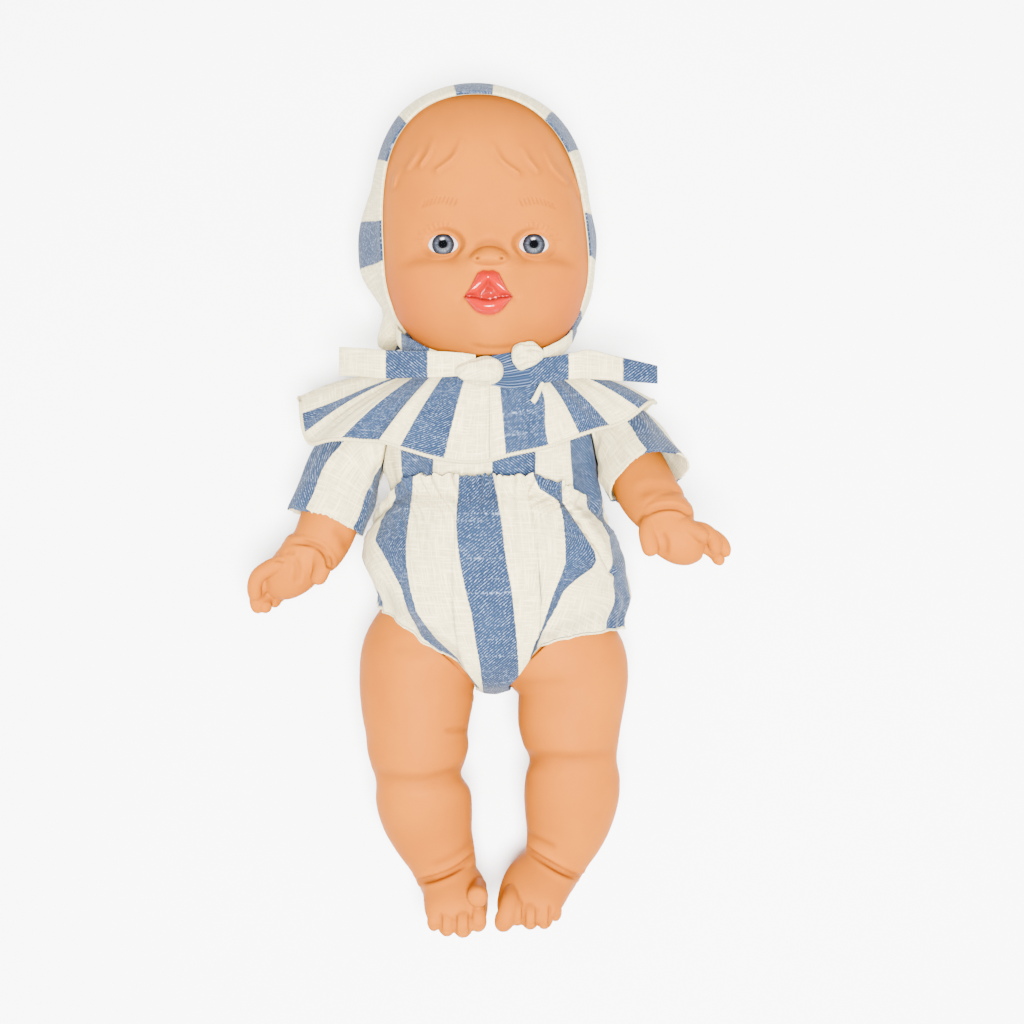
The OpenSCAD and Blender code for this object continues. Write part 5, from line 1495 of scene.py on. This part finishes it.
class DOLL_OT_arms(bpy.types.Operator):
    """Moulds the arms with their hands"""

    bl_idname = "doll.arms"
    bl_label = "Arms"

    def execute(self, context):
        voxel = context.scene.doll_sizes.voxel / MM
        for word in SIDE:
            rings = limb_rings(drawn_in(ARM, word), 70, 64)
            verts, faces, uv = surface(rings, wrap=True, caps=(True, True))
            verts = at_shoulder(verts, word)
            palm = through(PALMS[word], np.linspace(0, 1, 40))
            parts = [facing_tube((verts, faces, uv), verts.mean(0, keepdims=True)),
                     swept(palm[:, :3], palm[:, 3], palm[:, 4], np.array([0.0, 0.0, 1.0]), 48)]
            parts += [digit(rows) for rows in DIGITS[word]]
            arm = fused(word + "_arm_skin", parts, made("skin"), 0.8 * voxel, 3)
            fold_skin(arm, ARM_FOLDS[word])
            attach(arm, word + "_arm")
            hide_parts(word + "_arm")
        return {"FINISHED"}


# Rings down a leg, x from the doll's middle: x, y, z, two half sizes and the heading below the X axis.
LEGS = {
    "right": [[26.5, -43, 38, 24, 24, 46], [28.4, -50, 37.5, 24.6, 23.8, 62], [29.5, -60, 37, 23.3, 22.8, 80],
              [29.5, -70, 37.5, 21.8, 21.6, 90], [29.4, -77, 38, 20.5, 20.6, 90],
              [28.9, -83.5, 38.4, 20.3, 20.2, 91], [28.9, -89.5, 38.3, 18.8, 19, 92],
              [28.7, -95.4, 37.5, 17.1, 17.6, 94], [26.9, -103.5, 35.4, 19.1, 18.6, 98],
              [25.2, -113, 32, 18.3, 17.6, 102], [22.6, -122.5, 28.4, 15.8, 15.4, 107],
              [19.3, -131, 25.5, 13.6, 13.6, 109], [17.6, -138, 24, 12, 13, 107],
              [16.8, -142, 23, 6, 9, 104]],
    "left": [[26.5, -43, 38, 24, 24, 46], [31.6, -50, 37.5, 23.6, 23.6, 62], [33.4, -58, 37, 22.4, 22.6, 80],
             [32.6, -66.5, 37.5, 21.4, 21.6, 89], [31.9, -74, 38, 20.6, 20.8, 90],
             [32.3, -81, 38.4, 19.2, 19.6, 89], [33.3, -87.8, 38.2, 17.5, 17.8, 90],
             [33.2, -95, 37, 18.9, 18.6, 92], [32.7, -103.5, 35, 19.1, 18.6, 94],
             [31.6, -113, 31.6, 17.7, 17.2, 98], [29.8, -121.5, 28.4, 15.5, 15.2, 104],
             [27.2, -129, 26, 13.2, 13.4, 108], [24.6, -136, 24.2, 11.4, 13, 110],
             [23, -140.5, 23, 6.5, 9, 108]],
}
# Rings of a foot from the heel, x from the doll's middle: x, y, z and two half sizes.
FEET = {
    "right": [[21, -142, 4, 5, 4], [20.4, -141, 7.5, 9.4, 8.4], [18.2, -139.6, 19, 11.6, 11.2],
              [14.6, -141.4, 31, 12.9, 10.6], [13.4, -147.6, 42, 12.6, 8.2], [13.2, -151.6, 46.5, 10.6, 4]],
    "left": [[25.4, -140, 4, 5, 4], [25.4, -139, 7.5, 9.4, 8.4], [24.6, -136.4, 19, 12.2, 11.6],
             [19.6, -138.4, 31, 14.4, 11], [15.4, -145.4, 42, 13.2, 8.6], [14, -149, 46.5, 10.8, 4]],
}
# Toes from the big one: x from the doll's middle, y, z and half thickness.
TOES = {
    "right": [(4.8, -140.6, 51, 4.3), (4.6, -150.4, 47.6, 3.4), (10.6, -152.2, 48.2, 4.0),
              (17, -152.2, 47.2, 3.5), (22.2, -151, 45.4, 2.7)],
    "left": [(6.4, -147.2, 50.6, 4.0), (10.8, -147.6, 49.4, 3.3), (16, -149, 48.6, 3.8),
             (21.6, -149.4, 47, 3.4), (26, -147.2, 45, 2.6)],
}
# Form of a toe about its place: x, y, z and the share of its half thickness.
BIG_TOE = {
    "right": [[0, 2, -14, 0.8], [0, 1.2, -7, 0.85], [0, 0.3, -1.5, 1], [0, -0.2, 1.4, 0.85],
              [0, -0.3, 2.8, 0.3]],
    "left": [[2.6, 7.5, -9, 0.75], [1.6, 4.4, -2, 0.95], [0.5, 1, 0.6, 0.95], [-0.6, -2.4, 0.2, 1],
             [-1.4, -5.2, -1.8, 0.75], [-1.6, -6.4, -2.8, 0.2]],
}
SMALL_TOE = [[0, 7, -11, 0.7], [0, 4.6, -3.4, 0.8], [0, 1.6, 0.1, 0.98], [0, -1.4, -0.3, 1],
             [0, -3.4, -1.8, 0.6], [0, -4.2, -2.6, 0.15]]
LEG_FOLDS = {
    "right": [([(-52, -91), (-43.7, -92.6), (-38, -93.6), (-25.6, -94.4), (-18.4, -93), (-9, -91.5)],
               1.9, 0.9, 0.35),
              ([(-18, -74.4), (-13, -74.8), (-6, -75.6)], 0.8, 0.7, 0.25),
              ([(-40, -41.3), (-29, -42.6), (-18, -42.4)], 1.8, 0.5, 0.15),
              ([(-26, -131.8), (-14.3, -127.8), (-4, -120)], 1.5, 0.6, 0.2),
              ([(-33, -140.4), (-28.1, -137.8), (-14.4, -132.4), (-6.2, -127.4), (-1, -124)],
               0.8, 1.4, 0.6)],
    "left": [([(54, -82.5), (45, -84.6), (33.7, -85.6), (22.9, -85.6), (13, -87.4)], 1.9, 0.9, 0.35),
             ([(31, -54), (22, -55.8), (12, -57)], 1.8, 0.5, 0.15),
             ([(27, -123.5), (21, -121.6), (13, -118.2)], 1.3, 0.8, 0.3),
             ([(45, -141.6), (39.8, -138.6), (31, -133.8), (22.3, -128.9), (14.1, -124.5), (9, -122)],
              0.8, 1.4, 0.6)],
}


def foot_rings(rows, count, turns):
    """Rings of a foot, heel to ball: x, y, z and two half sizes, square to its run."""
    s = np.linspace(0, 1, count)
    row = through(rows, s)[:, None]
    run = unit(through(rows, s + 0.02)[:, :3] - through(rows, s - 0.02)[:, :3])[:, None]
    side = unit(np.cross(run, np.array([0, -1.0, 0])))
    a = np.linspace(0, 360, turns, endpoint=False)[None]
    return (row[..., :3] + side * (row[..., 3] * cosd(a))[..., None]
            + np.cross(side, run) * (row[..., 4] * sind(a))[..., None])


def toes(word):
    """Five toes on the ball of the foot, each swelling to a bulb.

    The right big toe stands up, the left one lies along the foot's edge, and the small toes curl over.
    """
    forms = [BIG_TOE[word]] + [SMALL_TOE] * 4
    return [digit(np.array(form) * (1, 1, 1, r) + (x, y, z, 0))
            for form, (x, y, z, r) in zip(forms, TOES[word])]


def toe_folds(word, side):
    """Clefts between the small toes, and the small line of each toe's nail."""
    at = np.array(TOES[word])[:, :3] * (side, 1, 1)
    clefts = [([m + (0, 5), m + (0, 1), m - (0, 5)], 0.5, 1.2, 0.0) for m in (at[1:-1, :2] + at[2:, :2]) / 2]
    nails = [([p + (-2, -1.4), p + (0, -2), p + (2, -1.4)], 0.3, 0.3, 0.0) for p in at[1:, :2]]
    return clefts + nails


class DOLL_OT_legs(bpy.types.Operator):
    """Moulds the legs with their feet and toes"""

    bl_idname = "doll.legs"
    bl_label = "Legs"

    def execute(self, context):
        voxel = context.scene.doll_sizes.voxel / MM
        for word, side in SIDE.items():
            rows = [list(r) for r in LEGS[word]]
            rows[0][:2] = (HIP - HIP_OUT * 5)[:2]
            parts = [surface(limb_rings(rows, 110, 96), wrap=True, caps=(True, True)),
                     surface(foot_rings(FEET[word], 50, 48), wrap=True, caps=(True, True))] + toes(word)
            inside = np.array([[side * 25.0, -90, 30]])
            placed = [facing_tube((v * (side, 1, 1), f, uv), inside) for v, f, uv in parts]
            leg = fused(word + "_leg_skin", placed, made("skin"), 0.9 * voxel, 3)
            fold_skin(leg, LEG_FOLDS[word] + toe_folds(word, side))
            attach(leg, word + "_leg")
            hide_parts(word + "_leg")
        return {"FINISHED"}


# Solids that stay as packed: they get their finish only.
KEPT = {
    "skin": ["torso_shell"],
    "housing": ["module_housing", "clamp_frame", "battery_door", "eye_retainers", "speaker_frame"],
    "steel": ["door_screw", "button_cells", "battery_contacts", "button_spring", "blouse_snaps",
              "speaker_magnet"],
    "board": ["circuit_board"],
    "dark": ["sound_chip", "tact_switch", "speaker_cone"],
    "wire": ["speaker_wires"],
    "button": ["press_button"],
}


class DOLL_OT_inside(bpy.types.Operator):
    """Finishes the solids that stay as packed: torso, sound module and fasteners"""

    bl_idname = "doll.inside"
    bl_label = "Torso and sound module"

    def execute(self, context):
        for finish, nodes in KEPT.items():
            for node in nodes:
                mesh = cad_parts[node].data
                mesh.materials.clear()
                mesh.materials.append(made(finish))
        return {"FINISHED"}


class DOLL_OT_materials(bpy.types.Operator):
    """Mixes every material from the colours"""

    bl_idname = "doll.materials"
    bl_label = "Materials"

    def execute(self, context):
        c = context.scene.doll_colours
        MADE.update({
            "skin": vinyl_skin(c),
            "stripes": yarn_cloth("yarn_dyed_stripe", c, True),
            "linen": yarn_cloth("off_white_linen", c, False),
            "elastic": moulded("braided_elastic", linear("#EDEBE4"), 0.5, 0.85),
            "eye_white": moulded("acrylic_eye_white", c.eye, 3.0, 0.2, 0.97,
                                 **{"Coat Weight": 0.4, "Coat Roughness": 0.1}),
            "iris": iris_print(c),
            "pupil": moulded("printed_pupil", linear("#030304"), 1.0, 0.6, **{"Specular IOR Level": 0.0}),
            "cornea": moulded("clear_acrylic", linear("#1A1D22"), 4.0, 0.1, 0.98, Alpha=0.05,
                              **{"Specular IOR Level": 0.12}),
            "housing": moulded("abs_module_shell", linear("#D9D7D0"), 0.6, 0.5, 0.93),
            "steel": moulded("nickel_plated_steel", linear("#B9BABD"), 0.4, 0.3, 0.9, Metallic=1.0),
            "board": moulded("solder_mask", linear("#1F6B43"), 1.2, 0.35),
            "dark": moulded("black_abs", linear("#1E1F22"), 0.5, 0.45),
            "wire": moulded("pvc_wire_sleeve", linear("#B22A2A"), 0.8, 0.45),
            "button": moulded("abs_press_button", linear("#E7B58B"), 0.6, 0.5, 0.93),
        })
        return {"FINISHED"}


# Lights: name, place and aim in metres, size across in metres and power in watts.
LIGHTS = [("overhead_softbox", (0.05, -0.15, 1.3), (0, 0, 0.05), 0.45, 142.0),
          ("left_softbox", (-1.1, 0.3, 1.1), (0, 0, 0.04), 0.8, 11.0),
          ("right_softbox", (1.1, 0.3, 1.1), (0, 0, 0.04), 0.8, 14.0)]
AIR_LIGHT = 0.66
# Half size of the paper floor and its gap under the doll, in mm.
FLOOR_HALF, FLOOR_GAP = 2600, 0.2
# Camera: place over the floor in metres, focal length and sensor width in mm.
CAMERA_XY = (0.0088, 0.0112)
LENS, SENSOR = 62.4, 36.0


class DOLL_OT_stage(bpy.types.Operator):
    """Sets the paper floor, the soft lights and the camera above the doll"""

    bl_idname = "doll.stage"
    bl_label = "Stage"

    def execute(self, context):
        scene = context.scene
        t = np.linspace(-1, 1, 9)
        grid = stack(FLOOR_HALF * t[None], FLOOR_HALF * t[:, None], -FLOOR_GAP)
        paper = studio_floor(scene.doll_colours.floor)
        floor = piece("paper_floor", [facing(surface(grid), (0, 0, -100))], paper)
        for name, place, aim, size, power in LIGHTS:
            light = bpy.data.lights.new(name, "AREA")
            light.shape = "DISK"
            light.size = size
            light.energy = power
            lamp = bpy.data.objects.new(name, light)
            lamp.location = place
            away = np.array(place) - np.array(aim)
            lamp.rotation_euler = (np.arctan2(np.hypot(away[0], away[1]), away[2]), 0,
                                   np.arctan2(away[1], away[0]) + np.pi / 2)
            scene.collection.objects.link(lamp)
        world = bpy.data.worlds.new("studio_air")
        world.use_nodes = True
        air = world.node_tree.nodes["Background"].inputs
        air["Color"].default_value = (1, 1, 1, 1)
        air["Strength"].default_value = AIR_LIGHT
        scene.world = world
        lens = bpy.data.cameras.new("photo_camera")
        lens.sensor_width = SENSOR
        lens.lens = LENS
        lens.clip_start, lens.clip_end = 0.01, 20.0
        camera = bpy.data.objects.new("photo_camera", lens)
        camera.location = (*CAMERA_XY, scene.doll_sizes.camera)
        scene.collection.objects.link(camera)
        scene.camera = camera
        return {"FINISHED"}


OPERATORS = (DOLL_OT_materials, DOLL_OT_stage, DOLL_OT_head, DOLL_OT_eyes, DOLL_OT_bonnet, DOLL_OT_collar,
             DOLL_OT_ties, DOLL_OT_bodice, DOLL_OT_arms, DOLL_OT_sleeves, DOLL_OT_bloomers, DOLL_OT_legs,
             DOLL_OT_inside)


class DOLL_PT_panel(bpy.types.Panel):
    """Lists the doll's sizes, colours and pieces."""

    bl_idname = "DOLL_PT_panel"
    bl_label = "Doll"
    bl_space_type = "VIEW_3D"
    bl_region_type = "UI"
    bl_category = "Doll"

    def draw(self, context):
        for group in (context.scene.doll_sizes, context.scene.doll_colours):
            for key in group.bl_rna.properties.keys():
                if key not in ("rna_type", "name"):
                    self.layout.prop(group, key)
        for kind in OPERATORS:
            self.layout.operator(kind.bl_idname)


CLASSES = (DollColours, DollSizes, *OPERATORS, DOLL_PT_panel)


def register():
    for kind in CLASSES:
        bpy.utils.register_class(kind)
    bpy.types.Scene.doll_colours = bpy.props.PointerProperty(type=DollColours)
    bpy.types.Scene.doll_sizes = bpy.props.PointerProperty(type=DollSizes)


def unregister():
    del bpy.types.Scene.doll_sizes
    del bpy.types.Scene.doll_colours
    for kind in reversed(CLASSES):
        bpy.utils.unregister_class(kind)


def main():
    """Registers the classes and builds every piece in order."""
    register()
    for kind in OPERATORS:
        group, name = kind.bl_idname.split(".")
        getattr(getattr(bpy.ops, group), name)()


if __name__ == "__main__":
    main()
